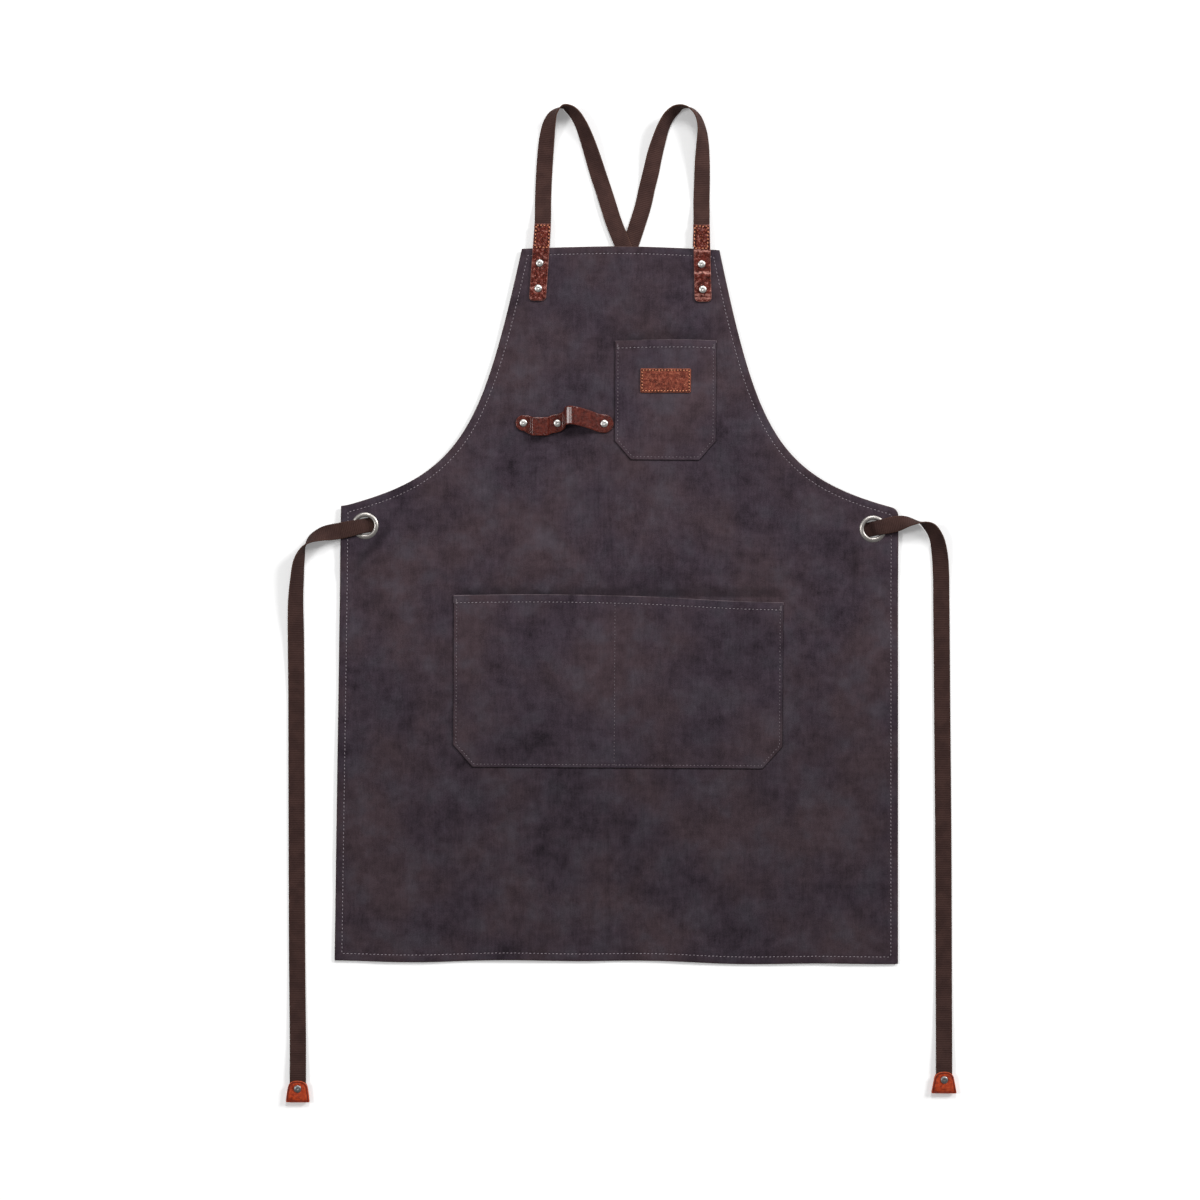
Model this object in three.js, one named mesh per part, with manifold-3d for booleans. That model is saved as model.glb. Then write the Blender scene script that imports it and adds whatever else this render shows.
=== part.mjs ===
// Butcher apron with cross-back webbing, laid out flat with its front up.
// +X runs across the apron, +Y from the hem to the bib, +Z up from the table.
// The origin is on the table, under the middle of the apron's body.
// All sizes are in millimetres.

import * as THREE from 'three';
import { mergeVertices } from 'three/addons/utils/BufferGeometryUtils.js';
import Module from 'manifold-3d';

const wasm = await Module();
wasm.setup();

// ---------- driving dimensions ----------

// Clearance between two pieces that touch.
const seat = 0.3;

// Canvas panel.
const panelLength = 862;
const bibWidth = 239.2;
const waistWidth = 672.8;
const hemlineWidth = 682;
const waistDrop = 312.2;
const topBow = 3.5;
const armholeTop = { out: 47.2, down: 220.4 };
const armholeEnd = { out: 145, up: 39 };
const cloth = 1.2;
const hemFold = 0.8;
const hemWidth = 10;
const rampLength = 40;
const rampBelowGrommet = 30;

// Webbing.
const webWidth = 20;
const webThickness = 1.6;
const webEdge = 0.5;
const webInGrommet = 14;

// Grommets.
const grommetInset = 29.4;
const grommetDrop = 336.1;
const grommetBore = 10.75;
const grommetWall = 1.15;
const grommetRim = 16.5;
const grommetDome = 1.6;
const washerRim = 15.5;
const washerThickness = 0.8;
const barrelBelowWasher = 0.3;
const ringClearance = 0.5;

// Leather strap tabs on the bib.
const leather = 2.2;
const tabWidth = 20.5;
const tabLength = 93;
const tabRise = 30.6;
const tabTopX = 95.6;
const tabTilt = 2.8;
const tabCorner = 5;
const tabRivetDrops = [47.6, 78.2];

// Rivets.
const rivetHead = 4.5;
const rivetDome = 1.5;
const rivetPost = 1.5;
const rivetBack = 4.2;
const rivetBackThickness = 1.0;
const rivetSocket = 0.5;

// Chest pocket and its leather patch.
const chestWidth = 122.8;
const chestHeight = 144.7;
const chestX = 55.2;
const chestDrop = 109.9;
const chestCorner = { x: 20, y: 23 };
const patchWidth = 61;
const patchHeight = 29;
const patchDrop = 33;
const patchThickness = 1.5;

// Wide double pocket.
const kangarooWidth = 399;
const kangarooHeight = 208.2;
const kangarooDrop = 419.2;
const kangarooCorner = { x: 24, y: 27 };
const dividerSeam = 8;

// All pockets.
const pocketSeam = 7;
const pocketSlope = 18;
const pocketRoom = 4.6;

// Leather tool loop.
const loopWidth = 22;
const loopDrop = 210.9;
const loopRivets = [-116.3, -75.2, -18.6];
const smallLoopHeight = 6;
const tallLoopHeight = 17;
const smallLoopLean = -6;
const tallLoopLean = 9;

// Leather tips on the waist ties.
const tipLength = 26.3;
const tipTopWidth = 20.6;
const tipFootWidth = 30.5;
const tipLeaf = 1.8;
const tipFold = 5;
const tipRivetDrop = 9.7;

// ---------- derived places and levels ----------

const panelBottom = -(panelLength + tabRise) / 2;
const bibTop = panelBottom + panelLength;
const waistY = bibTop - waistDrop;
const grommetX = waistWidth / 2 - grommetInset;
const grommetY = bibTop - grommetDrop;
const loopY = bibTop - loopDrop;
const tabAngle = THREE.MathUtils.degToRad(tabTilt);
const tabTop = bibTop + tabRise - (tabWidth / 2) * Math.sin(tabAngle);
const rampTop = grommetY - rampBelowGrommet;
const rampFoot = rampTop - rampLength;

// The bib and waist lie on two crossed layers of webbing. The skirt lies on the table.
const bibRaise = 2 * webThickness + 2 * seat;
const clothUnder = hemFold;
const clothTop = hemFold + cloth;
const bibUnder = bibRaise + clothUnder;
const bibFace = bibRaise + clothTop;
const onBib = bibFace + seat;
const onSkirt = clothTop + seat;
const postHole = rivetPost + seat;
const onRing = onBib + grommetDome + ringClearance;
const tipFloor = rivetBackThickness + seat;

// Levels of the webbing's lowest edge: under a strap tab, over the other webbing, in
// the middle of a grommet, and inside a leather tip.
const SEWN = onBib - seat - webThickness;
const OVER = webThickness + seat;
const MID_RING = (seat + onRing) / 2;
const IN_TIP = tipFloor + tipLeaf + seat;

// ---------- webbing routes ----------
// Each stop is [x, y, lift, roll, width]. Lift is the height of the webbing's lowest
// edge, and roll turns the webbing about its own line, in degrees. A route is cut into
// its rigid lengths at the stop numbered HINGE, above the bib, and at its own neck and
// grommet stops.

const HINGE = 1;
const LEFT_WEBBING = {
  stops: [
    [-93.9, 419.5, SEWN, 0, webWidth],
    [-94.4, 449.2, SEWN, 0, webWidth],
    [-94.2, 476, 0, 0, webWidth],
    [-93.5, 499.3, 0, 0, webWidth],
    [-92.2, 523.5, 0, -5, webWidth],
    [-90.2, 547.7, 0, -17, webWidth],
    [-87, 567.1, 0, -37, webWidth],
    [-81.3, 579.8, 0, -62, webWidth],
    [-71.4, 586.9, 0, -90, webWidth],
    [-63, 584, 0, -114, webWidth],
    [-56.5, 578.2, 0, -125, webWidth],
    [-49.6, 567.5, 0, -132, webWidth],
    [-42.8, 551.6, 0, -144, webWidth],
    [-35.4, 530.5, 0, -156, webWidth],
    [-28.6, 509.4, 0, -169, webWidth],
    [-21.8, 489.5, 0.6, -180, webWidth],
    [-15.7, 470.7, OVER, -180, webWidth],
    [-8.7, 449.2, OVER, -180, webWidth],
    [7.6, 409.3, OVER, -180, webWidth],
    [25, 366, OVER, -180, webWidth],
    [52, 312, 0, -180, webWidth],
    [90, 255, 0, -180, webWidth],
    [140, 198, 0, -180, webWidth],
    [196, 146, 0, -180, webWidth],
    [246, 105, 0, -180, webWidth],
    [277, 84, 0, -180, webWidth],
    [291, 78, 0, -180, 19],
    [299.2, 78.1, seat, -180, webInGrommet],
    [307, 79.6, MID_RING, -180, webInGrommet],
    [314.8, 81.2, onRing, -180, webInGrommet],
    [324, 83.2, onRing + 0.1, -180, 18],
    [337, 86.4, onBib + 0.7, -180, webWidth],
    [350.9, 88.8, 5.2, -197, webWidth],
    [364.2, 87.7, 1, -270, webWidth],
    [375.5, 82, 0, -305, webWidth],
    [383.6, 69.5, 0, -322, webWidth],
    [388.1, 50, 0, -340, webWidth],
    [390.2, 24.3, 0, -354, webWidth],
    [390.8, -5.9, 0, -360, webWidth],
    [392.9, -151.1, 0, -360, webWidth],
    [395, -296.3, 0, -360, webWidth],
    [396.4, -441.5, 0, -360, webWidth],
    [397.1, -530, 1.5, -360, webWidth],
    [397.2, -570, IN_TIP, -360, webWidth],
    [397.2, -597.2, IN_TIP, -360, webWidth],
  ],
  neck: 17,
  grommet: 28,
};
const RIGHT_WEBBING = {
  stops: [
    [97.3, 419.5, SEWN, 0, webWidth],
    [97.6, 449.2, SEWN, 0, webWidth],
    [97.5, 476.3, 0, 4, webWidth],
    [97.9, 500.5, 0, 12, webWidth],
    [98.1, 524.7, 0, 24, webWidth],
    [98.2, 546, 0, 42, webWidth],
    [96.8, 563.4, 0, 60, webWidth],
    [92, 577.4, 0, 70, webWidth],
    [83.5, 585.9, 0, 78, webWidth],
    [74.4, 587.7, 0, 92, webWidth],
    [65.9, 584.4, 0, 116, webWidth],
    [57.5, 576.5, 0, 128, webWidth],
    [50.9, 564.3, 0, 135, webWidth],
    [45.6, 548.6, 0, 147, webWidth],
    [40.8, 531.6, 0, 160, webWidth],
    [36.1, 509.8, 0, 172, webWidth],
    [31.4, 490.4, 0, 180, webWidth],
    [27.3, 471, 0, 180, webWidth],
    [20.9, 449.2, 0, 180, webWidth],
    [7.6, 409.3, 0, 180, webWidth],
    [-9, 364, 0, 180, webWidth],
    [-34, 312, 0, 180, webWidth],
    [-72, 258, 0, 180, webWidth],
    [-122, 203, 0, 180, webWidth],
    [-180, 152, 0, 180, webWidth],
    [-236, 112, 0, 180, webWidth],
    [-276, 89, 0, 180, webWidth],
    [-290.8, 83.2, 0, 180, 19],
    [-299.3, 81.2, seat, 180, webInGrommet],
    [-307, 79.6, MID_RING, 180, webInGrommet],
    [-314.7, 77.9, onRing, 180, webInGrommet],
    [-324, 75.9, onRing + 0.1, 180, 18],
    [-337.5, 73.1, onBib + 0.7, 180, webWidth],
    [-348, 71.3, 6, 190, webWidth],
    [-358.1, 69.3, 4, 212, webWidth],
    [-370.7, 63.8, 1, 240, webWidth],
    [-379.8, 54.7, 0, 270, webWidth],
    [-386, 38, 0, 303, webWidth],
    [-388.8, 13.5, 0, 320, webWidth],
    [-390.3, -12, 0, 332, webWidth],
    [-390, -60, 0, 350, webWidth],
    [-389.2, -131.7, 0, 360, webWidth],
    [-388.2, -252.7, 0, 360, webWidth],
    [-386.4, -446.3, 0, 360, webWidth],
    [-384.7, -545, 1.5, 360, webWidth],
    [-384.3, -586, IN_TIP, 360, webWidth],
    [-384.3, -612.8, IN_TIP, 360, webWidth],
  ],
  neck: 18,
  grommet: 29,
};

// ---------- materials ----------

const finish = (color, roughness, metalness = 0) =>
  new THREE.MeshStandardMaterial({ color, roughness, metalness });
const CANVAS = [0x403840, 0.85];
const WEBBING = [0x3c2b28, 0.8];
const BROWN_LEATHER = [0x6e3226, 0.5];
const PATCH_LEATHER = [0x7a4234, 0.55];
const TAN_LEATHER = [0x9a4020, 0.5];
const NICKEL = [0xc4c1bb, 0.3, 1];

// ---------- geometry helpers ----------

const group = new THREE.Group();

function add(name, geometry, look, parent = group) {
  const mesh = new THREE.Mesh(geometry, finish(...look));
  mesh.name = name;
  parent.add(mesh);
  return mesh;
}

function solidOf(geometry) {
  const bare = geometry.clone();
  bare.deleteAttribute('normal');
  bare.deleteAttribute('uv');
  const merged = mergeVertices(bare, 1e-4);
  const mesh = new wasm.Mesh({
    numProp: 3,
    vertProperties: merged.attributes.position.array,
    triVerts: new Uint32Array(merged.index.array),
  });
  return new wasm.Manifold(mesh);
}

function geometryOf(solid) {
  const mesh = solid.getMesh();
  const geometry = new THREE.BufferGeometry();
  const position = new THREE.BufferAttribute(mesh.vertProperties, 3);
  geometry.setAttribute('position', position);
  geometry.setIndex(new THREE.BufferAttribute(mesh.triVerts, 1));
  geometry.computeVertexNormals();
  return geometry;
}

// A closed skin over a row of rings that all have as many points, round ways.
function skin(rings) {
  const size = rings[0].length;
  const last = (rings.length - 1) * size;
  const index = [];
  for (let i = 0; i < last; i += size) {
    for (let j = 0; j < size; j += 1) {
      const k = (j + 1) % size;
      index.push(i + j, i + k, i + size + k);
      index.push(i + j, i + size + k, i + size + j);
    }
  }
  for (let j = 1; j < size - 1; j += 1) {
    index.push(0, j + 1, j);
    index.push(last, last + j, last + j + 1);
  }
  const geometry = new THREE.BufferGeometry().setFromPoints(rings.flat());
  geometry.setIndex(index);
  geometry.computeVertexNormals();
  return geometry;
}

function prism(outline, low, high, holes = []) {
  const shape = new THREE.Shape(outline);
  shape.holes = holes.map((hole) => new THREE.Path(hole));
  const options = { depth: high - low, bevelEnabled: false };
  return new THREE.ExtrudeGeometry(shape, options).translate(0, 0, low);
}

function drill(x, y, radius, low, high, sides = 16) {
  const geometry = new THREE.CylinderGeometry(radius, radius, high - low, sides);
  geometry.rotateX(Math.PI / 2);
  return solidOf(geometry.translate(x, y, (low + high) / 2));
}

function box(left, right, bottom, top, low, high) {
  const geometry = new THREE.BoxGeometry(right - left, top - bottom, high - low);
  const centre = [(left + right) / 2, (bottom + top) / 2, (low + high) / 2];
  return solidOf(geometry.translate(...centre));
}

function turned(profile, sides) {
  const points = profile.map(([radius, height]) => new THREE.Vector2(radius, height));
  return new THREE.LatheGeometry(points, sides).rotateX(Math.PI / 2);
}

// ---------- panel ----------

function panelOutline() {
  const shape = new THREE.Shape();
  const half = { bib: bibWidth / 2, waist: waistWidth / 2, hem: hemlineWidth / 2 };
  const handleX = half.bib + armholeTop.out;
  const handleY = bibTop - armholeTop.down;
  const endX = half.waist - armholeEnd.out;
  const endY = waistY + armholeEnd.up;
  shape.moveTo(-half.hem, panelBottom);
  shape.lineTo(half.hem, panelBottom);
  shape.lineTo(half.waist, waistY);
  shape.bezierCurveTo(endX, endY, handleX, handleY, half.bib, bibTop);
  shape.quadraticCurveTo(0, bibTop + 2 * topBow, -half.bib, bibTop);
  shape.bezierCurveTo(-handleX, handleY, -endX, endY, -half.waist, waistY);
  return shape.getPoints(14);
}

// The outline moved inwards by one distance all round.
function inset(outline, distance) {
  return outline.map((point, i) => {
    const before = outline[(i + outline.length - 1) % outline.length];
    const after = outline[(i + 1) % outline.length];
    const a = point.clone().sub(before).normalize();
    const b = after.clone().sub(point).normalize();
    const normal = new THREE.Vector2(-a.y - b.y, a.x + b.x);
    const reach = distance * 2 / normal.lengthSq();
    return point.clone().addScaledVector(normal, reach);
  });
}

// A sheet as wide as the panel, whose underside and face step up from skirt to bib.
function steppedSheet(low, high) {
  const foot = panelBottom - 20;
  const head = bibTop + 20;
  const side = new THREE.Shape([
    new THREE.Vector2(foot, low),
    new THREE.Vector2(rampFoot, low),
    new THREE.Vector2(rampTop, low + bibRaise),
    new THREE.Vector2(head, low + bibRaise),
    new THREE.Vector2(head, high + bibRaise),
    new THREE.Vector2(rampTop, high + bibRaise),
    new THREE.Vector2(rampFoot, high),
    new THREE.Vector2(foot, high),
  ]);
  const span = hemlineWidth + 40;
  const geometry = new THREE.ExtrudeGeometry(side, { depth: span, bevelEnabled: false });
  const across = new THREE.Matrix4().makeBasis(
    new THREE.Vector3(0, 1, 0),
    new THREE.Vector3(0, 0, 1),
    new THREE.Vector3(1, 0, 0),
  );
  return solidOf(geometry.applyMatrix4(across).translate(-span / 2, 0, 0));
}

const tabRivets = [];
for (const side of [-1, 1]) {
  for (const drop of tabRivetDrops) {
    const x = side * (tabTopX + drop * Math.sin(tabAngle));
    tabRivets.push({ side, x, y: tabTop - drop * Math.cos(tabAngle) });
  }
}

function panelGeometry() {
  const outline = panelOutline();
  const ceiling = bibFace + 10;
  const whole = solidOf(prism(outline, -10, ceiling));
  const inside = solidOf(prism(inset(outline, hemWidth), -20, ceiling));
  let panel = whole.intersect(steppedSheet(0, clothTop));
  panel = panel.subtract(inside.intersect(steppedSheet(-5, clothUnder)));
  const posts = [...tabRivets, ...loopRivets.map((x) => ({ x, y: loopY }))];
  for (const { x, y } of posts) {
    panel = panel.subtract(drill(x, y, postHole, -1, ceiling, 12));
  }
  const eyelet = grommetBore + grommetWall + seat;
  for (const side of [-1, 1]) {
    const hole = drill(side * grommetX, grommetY, eyelet, -1, ceiling, 24);
    panel = panel.subtract(hole);
  }
  return geometryOf(panel);
}

add('main_panel', panelGeometry(), CANVAS);

// ---------- pockets ----------

// A rectangle whose two lower corners are cut off, drawn inside the given edges.
function pocketOutline(edges, corners, margin) {
  const left = edges.left + margin;
  const right = edges.right - margin;
  const bottom = edges.bottom + margin;
  const rise = ({ x, y }) => y + margin * (Math.hypot(x, y) - y - x) / x;
  const run = ({ x, y }) => x + margin * (Math.hypot(x, y) - x - y) / y;
  return [
    new THREE.Vector2(left, edges.top),
    new THREE.Vector2(left, bottom + rise(corners.left)),
    new THREE.Vector2(left + run(corners.left), bottom),
    new THREE.Vector2(right - run(corners.right), bottom),
    new THREE.Vector2(right, bottom + rise(corners.right)),
    new THREE.Vector2(right, edges.top),
  ];
}

// The hollow form of one compartment: wide at the seam, narrower at the full height.
function mound(edges, corners, margin, low, high) {
  const open = { ...edges, top: edges.top + 5 };
  const ring = (extra, z) =>
    pocketOutline(open, corners, margin + extra).map((p) => new THREE.Vector3(p.x, p.y, z));
  return solidOf(skin([ring(0, low), ring(pocketSlope, high)]));
}

// A patch sewn down on three sides, raised between its seams, with its mouth at the top.
function pocketGeometry(edges, corners, compartments, floor) {
  let patch = solidOf(prism(pocketOutline(edges, corners, 0), floor, floor + cloth));
  for (const room of compartments) {
    const top = floor + pocketRoom + cloth;
    patch = patch.add(mound(room.edges, room.corners, pocketSeam, floor + cloth, top));
  }
  for (const room of compartments) {
    const top = floor + pocketRoom;
    patch = patch.subtract(mound(room.edges, room.corners, pocketSeam, floor, top));
  }
  const { left, right, bottom, top } = edges;
  const keep = box(left - 1, right + 1, bottom - 1, top, floor - 1, floor + 50);
  return geometryOf(patch.intersect(keep));
}

const chestTop = bibTop - chestDrop;
const chestEdges = {
  left: chestX - chestWidth / 2,
  right: chestX + chestWidth / 2,
  bottom: chestTop - chestHeight,
  top: chestTop,
};
const chestCorners = { left: chestCorner, right: chestCorner };
const chestRoom = { edges: chestEdges, corners: chestCorners };
add(
  'chest_pocket',
  pocketGeometry(chestEdges, chestCorners, [chestRoom], onBib),
  CANVAS,
);

const kangarooTop = bibTop - kangarooDrop;
const kangarooEdges = {
  left: -kangarooWidth / 2,
  right: kangarooWidth / 2,
  bottom: kangarooTop - kangarooHeight,
  top: kangarooTop,
};
const kangarooCorners = { left: kangarooCorner, right: kangarooCorner };
const seamCut = 0.72 * (pocketSeam + pocketSlope);
const seamCorner = { x: seamCut, y: seamCut };
const seamReach = pocketSeam - dividerSeam / 2;
const kangarooRooms = [
  {
    edges: { ...kangarooEdges, right: seamReach },
    corners: { left: kangarooCorner, right: seamCorner },
  },
  {
    edges: { ...kangarooEdges, left: -seamReach },
    corners: { left: seamCorner, right: kangarooCorner },
  },
];
add(
  'kangaroo_pocket',
  pocketGeometry(kangarooEdges, kangarooCorners, kangarooRooms, onSkirt),
  CANVAS,
);

const onChestPocket = onBib + pocketRoom + cloth + seat;
const patchShape = new THREE.BoxGeometry(patchWidth, patchHeight, patchThickness);
const leatherPatch = add('leather_patch', patchShape, PATCH_LEATHER);
leatherPatch.position.set(
  chestX,
  chestTop - patchDrop - patchHeight / 2,
  onChestPocket + patchThickness / 2,
);

// ---------- rivets ----------

// A domed cap with its post, and the back that the post is pressed into. Face is the
// height of the surface under the cap, and back that of the surface above the back.
function addRivet(name, x, y, face, back, parent = group) {
  const top = face + seat;
  const backTop = back - seat;
  const backFloor = backTop - rivetBackThickness;
  const postEnd = backFloor + rivetSocket + seat - top;
  const cap = turned(
    [
      [0, postEnd],
      [rivetPost, postEnd],
      [rivetPost, 0],
      [rivetHead, 0],
      [rivetHead, 0.3 * rivetDome],
      [0.72 * rivetHead, 0.82 * rivetDome],
      [0.38 * rivetHead, rivetDome],
      [0, rivetDome],
    ],
    12,
  );
  const rim = 0.7 * rivetBackThickness;
  const disc = turned(
    [
      [0, 0],
      [0.9 * rivetBack, 0],
      [rivetBack, rivetBackThickness - rim],
      [rivetBack, rivetBackThickness],
      [postHole, rivetBackThickness],
      [postHole, rivetSocket],
      [0, rivetSocket],
    ],
    12,
  );
  add(name, cap, NICKEL, parent).position.set(x, y, top);
  add(`${name}_back`, disc, NICKEL, parent).position.set(x, y, backFloor);
}

// ---------- strap tabs ----------

const tabNames = { '-1': 'left', 1: 'right' };

function tabGeometry(side) {
  const half = tabWidth / 2;
  const shape = new THREE.Shape();
  shape.moveTo(-half, 0);
  shape.lineTo(-half, tabCorner - tabLength);
  shape.absarc(tabCorner - half, tabCorner - tabLength, tabCorner, Math.PI, 1.5 * Math.PI);
  shape.lineTo(half - tabCorner, -tabLength);
  shape.absarc(half - tabCorner, tabCorner - tabLength, tabCorner, 1.5 * Math.PI, 0);
  shape.lineTo(half, 0);
  const strip = prism(shape.getPoints(5), 0, leather);
  let tab = solidOf(strip.rotateZ(side * tabAngle).translate(side * tabTopX, tabTop, onBib));
  for (const rivet of tabRivets.filter((r) => r.side === side)) {
    const hole = drill(rivet.x, rivet.y, postHole, onBib - 1, onBib + leather + 1, 12);
    tab = tab.subtract(hole);
  }
  return geometryOf(tab);
}

for (const side of [-1, 1]) {
  const label = tabNames[side];
  add(`${label}_strap_tab`, tabGeometry(side), BROWN_LEATHER);
  tabRivets.filter((r) => r.side === side).forEach((rivet, i) => {
    const place = ['upper', 'lower'][i];
    addRivet(`${label}_tab_rivet_${place}`, rivet.x, rivet.y, onBib + leather, bibUnder);
  });
}

// ---------- tool loop ----------

// The strip's line as [x, height, lean]: flat under each rivet, with a small loop
// between the first two rivets and a tall one between the last two.
function loopLine() {
  const [first, second, third] = loopRivets;
  const flat = 9;
  const small = { left: first + flat, right: second - flat };
  const step = small.right - small.left;
  const tall = second + flat;
  const slope = third - flat - tall;
  return [
    [first, 0, 0],
    [small.left, 0, 0.3 * smallLoopLean],
    [small.left + 0.12 * step, 0.85 * smallLoopHeight, 0.8 * smallLoopLean],
    [small.left + 0.35 * step, smallLoopHeight, smallLoopLean],
    [small.right - 0.35 * step, smallLoopHeight, smallLoopLean],
    [small.right - 0.12 * step, 0.85 * smallLoopHeight, 0.8 * smallLoopLean],
    [small.right, 0, 0.3 * smallLoopLean],
    [second, 0, 0],
    [tall, 0, 0.35 * tallLoopLean],
    [tall + 0.02 * slope, 0.5 * tallLoopHeight, 0.8 * tallLoopLean],
    [tall + 0.1 * slope, 0.9 * tallLoopHeight, tallLoopLean],
    [tall + 0.22 * slope, tallLoopHeight, tallLoopLean],
    [tall + 0.36 * slope, 0.86 * tallLoopHeight, 0.9 * tallLoopLean],
    [tall + 0.65 * slope, 0.45 * tallLoopHeight, 0.6 * tallLoopLean],
    [third - flat, 0, 0.15 * tallLoopLean],
    [third, 0, 0],
  ];
}

function toolLoopGeometry() {
  const line = loopLine();
  const rings = line.map(([x, height, lean], i) => {
    const before = line[Math.max(i - 1, 0)];
    const after = line[Math.min(i + 1, line.length - 1)];
    const along = new THREE.Vector3(after[0] - before[0], 0, after[1] - before[1]);
    along.normalize();
    const up = new THREE.Vector3(-along.z, 0, along.x).multiplyScalar(leather / 2);
    const centre = new THREE.Vector3(x, loopY + lean, onBib + leather / 2 + height);
    const side = new THREE.Vector3(0, loopWidth / 2, 0);
    return [
      centre.clone().sub(side).sub(up),
      centre.clone().add(side).sub(up),
      centre.clone().add(side).add(up),
      centre.clone().sub(side).add(up),
    ];
  });
  let strip = solidOf(skin(rings));
  const ends = [loopRivets[0], loopRivets[2]];
  for (const x of ends) {
    strip = strip.add(drill(x, loopY, loopWidth / 2, onBib, onBib + leather, 24));
  }
  for (const x of loopRivets) {
    strip = strip.subtract(drill(x, loopY, postHole, onBib - 1, onBib + leather + 1, 12));
  }
  return geometryOf(strip);
}

add('tool_loop', toolLoopGeometry(), BROWN_LEATHER);
loopRivets.forEach((x, i) => {
  const place = ['left', 'middle', 'right'][i];
  addRivet(`loop_rivet_${place}`, x, loopY, onBib + leather, bibUnder);
});

// ---------- grommets ----------

const washerTop = bibUnder - seat;
const washerFloor = washerTop - washerThickness;
const barrelEnd = washerFloor - barrelBelowWasher;
const barrel = grommetBore + grommetWall;
const grommetProfile = [
  [grommetBore, barrelEnd],
  [barrel, barrelEnd],
  [barrel, onBib],
  [grommetRim, onBib],
  [grommetRim, onBib + 0.3 * grommetDome],
  [(grommetRim + barrel) / 2, onBib + grommetDome],
  [barrel, onBib + grommetDome],
  [grommetBore, onBib + 0.4 * grommetDome],
  [grommetBore, barrelEnd],
];
const washerProfile = [
  [barrel + seat, washerFloor],
  [washerRim, washerFloor],
  [washerRim, washerTop],
  [barrel + seat, washerTop],
  [barrel + seat, washerFloor],
];
for (const side of [-1, 1]) {
  const label = tabNames[side];
  const ring = add(`${label}_grommet`, turned(grommetProfile, 24), NICKEL);
  const washer = add(`${label}_grommet_washer`, turned(washerProfile, 24), NICKEL);
  ring.position.set(side * grommetX, grommetY, 0);
  washer.position.set(side * grommetX, grommetY, 0);
}

// ---------- webbing ----------

// Between two stops a value eases from one to the other.
function valueAt(stops, s, column) {
  const i = Math.min(Math.floor(s), stops.length - 2);
  const ease = THREE.MathUtils.smoothstep(s - i, 0, 1);
  return THREE.MathUtils.lerp(stops[i][column], stops[i + 1][column], ease);
}

function webbingLine(stops) {
  const plan = new THREE.CatmullRomCurve3(stops.map(([x, y]) => new THREE.Vector3(x, y, 0)));
  const centre = (s) => {
    const point = plan.getPoint(s / (stops.length - 1));
    const roll = THREE.MathUtils.degToRad(valueAt(stops, s, 3));
    const standing = Math.abs(Math.sin(roll)) * valueAt(stops, s, 4) / 2;
    const lying = Math.abs(Math.cos(roll)) * webThickness / 2;
    point.z = valueAt(stops, s, 2) + standing + lying;
    return point;
  };
  const along = (s) => {
    const ahead = centre(Math.min(s + 0.01, stops.length - 1));
    return ahead.sub(centre(Math.max(s - 0.01, 0))).normalize();
  };
  return { centre, along };
}

function webbingRing(stops, line, s) {
  const roll = THREE.MathUtils.degToRad(valueAt(stops, s, 3));
  const along = line.along(s);
  const side = new THREE.Vector3(-along.y, along.x, 0).normalize();
  const up = along.clone().cross(side);
  const wide = side.clone().multiplyScalar(Math.cos(roll));
  wide.addScaledVector(up, Math.sin(roll));
  const thick = up.clone().multiplyScalar(Math.cos(roll));
  thick.addScaledVector(side, -Math.sin(roll));
  const w = valueAt(stops, s, 4) / 2;
  const t = webThickness / 2;
  const section = [
    [w, webEdge - t],
    [w, t - webEdge],
    [w - webEdge, t],
    [webEdge - w, t],
    [-w, t - webEdge],
    [-w, webEdge - t],
    [webEdge - w, -t],
    [w - webEdge, -t],
  ];
  return section.map(([across, through]) => {
    const point = line.centre(s);
    return point.addScaledVector(wide, across).addScaledVector(thick, through);
  });
}

// One rigid length of a route, from one stop to another, each end held back by half a
// seat where the next length begins.
function webbingGeometry(stops, from, to, perStop, gaps) {
  const line = webbingLine(stops);
  const speedAt = (s) => {
    const near = Math.min(s + 0.02, stops.length - 1);
    const back = Math.max(s - 0.02, 0);
    return line.centre(near).distanceTo(line.centre(back)) / (near - back);
  };
  const start = from + (gaps.start ? seat / 2 / speedAt(from) : 0);
  const end = to - (gaps.end ? seat / 2 / speedAt(to) : 0);
  const rings = [webbingRing(stops, line, start)];
  const steps = (to - from) * perStop;
  for (let i = 1; i < steps; i += 1) {
    rings.push(webbingRing(stops, line, from + i / perStop));
  }
  rings.push(webbingRing(stops, line, end));
  return skin(rings);
}

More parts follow.
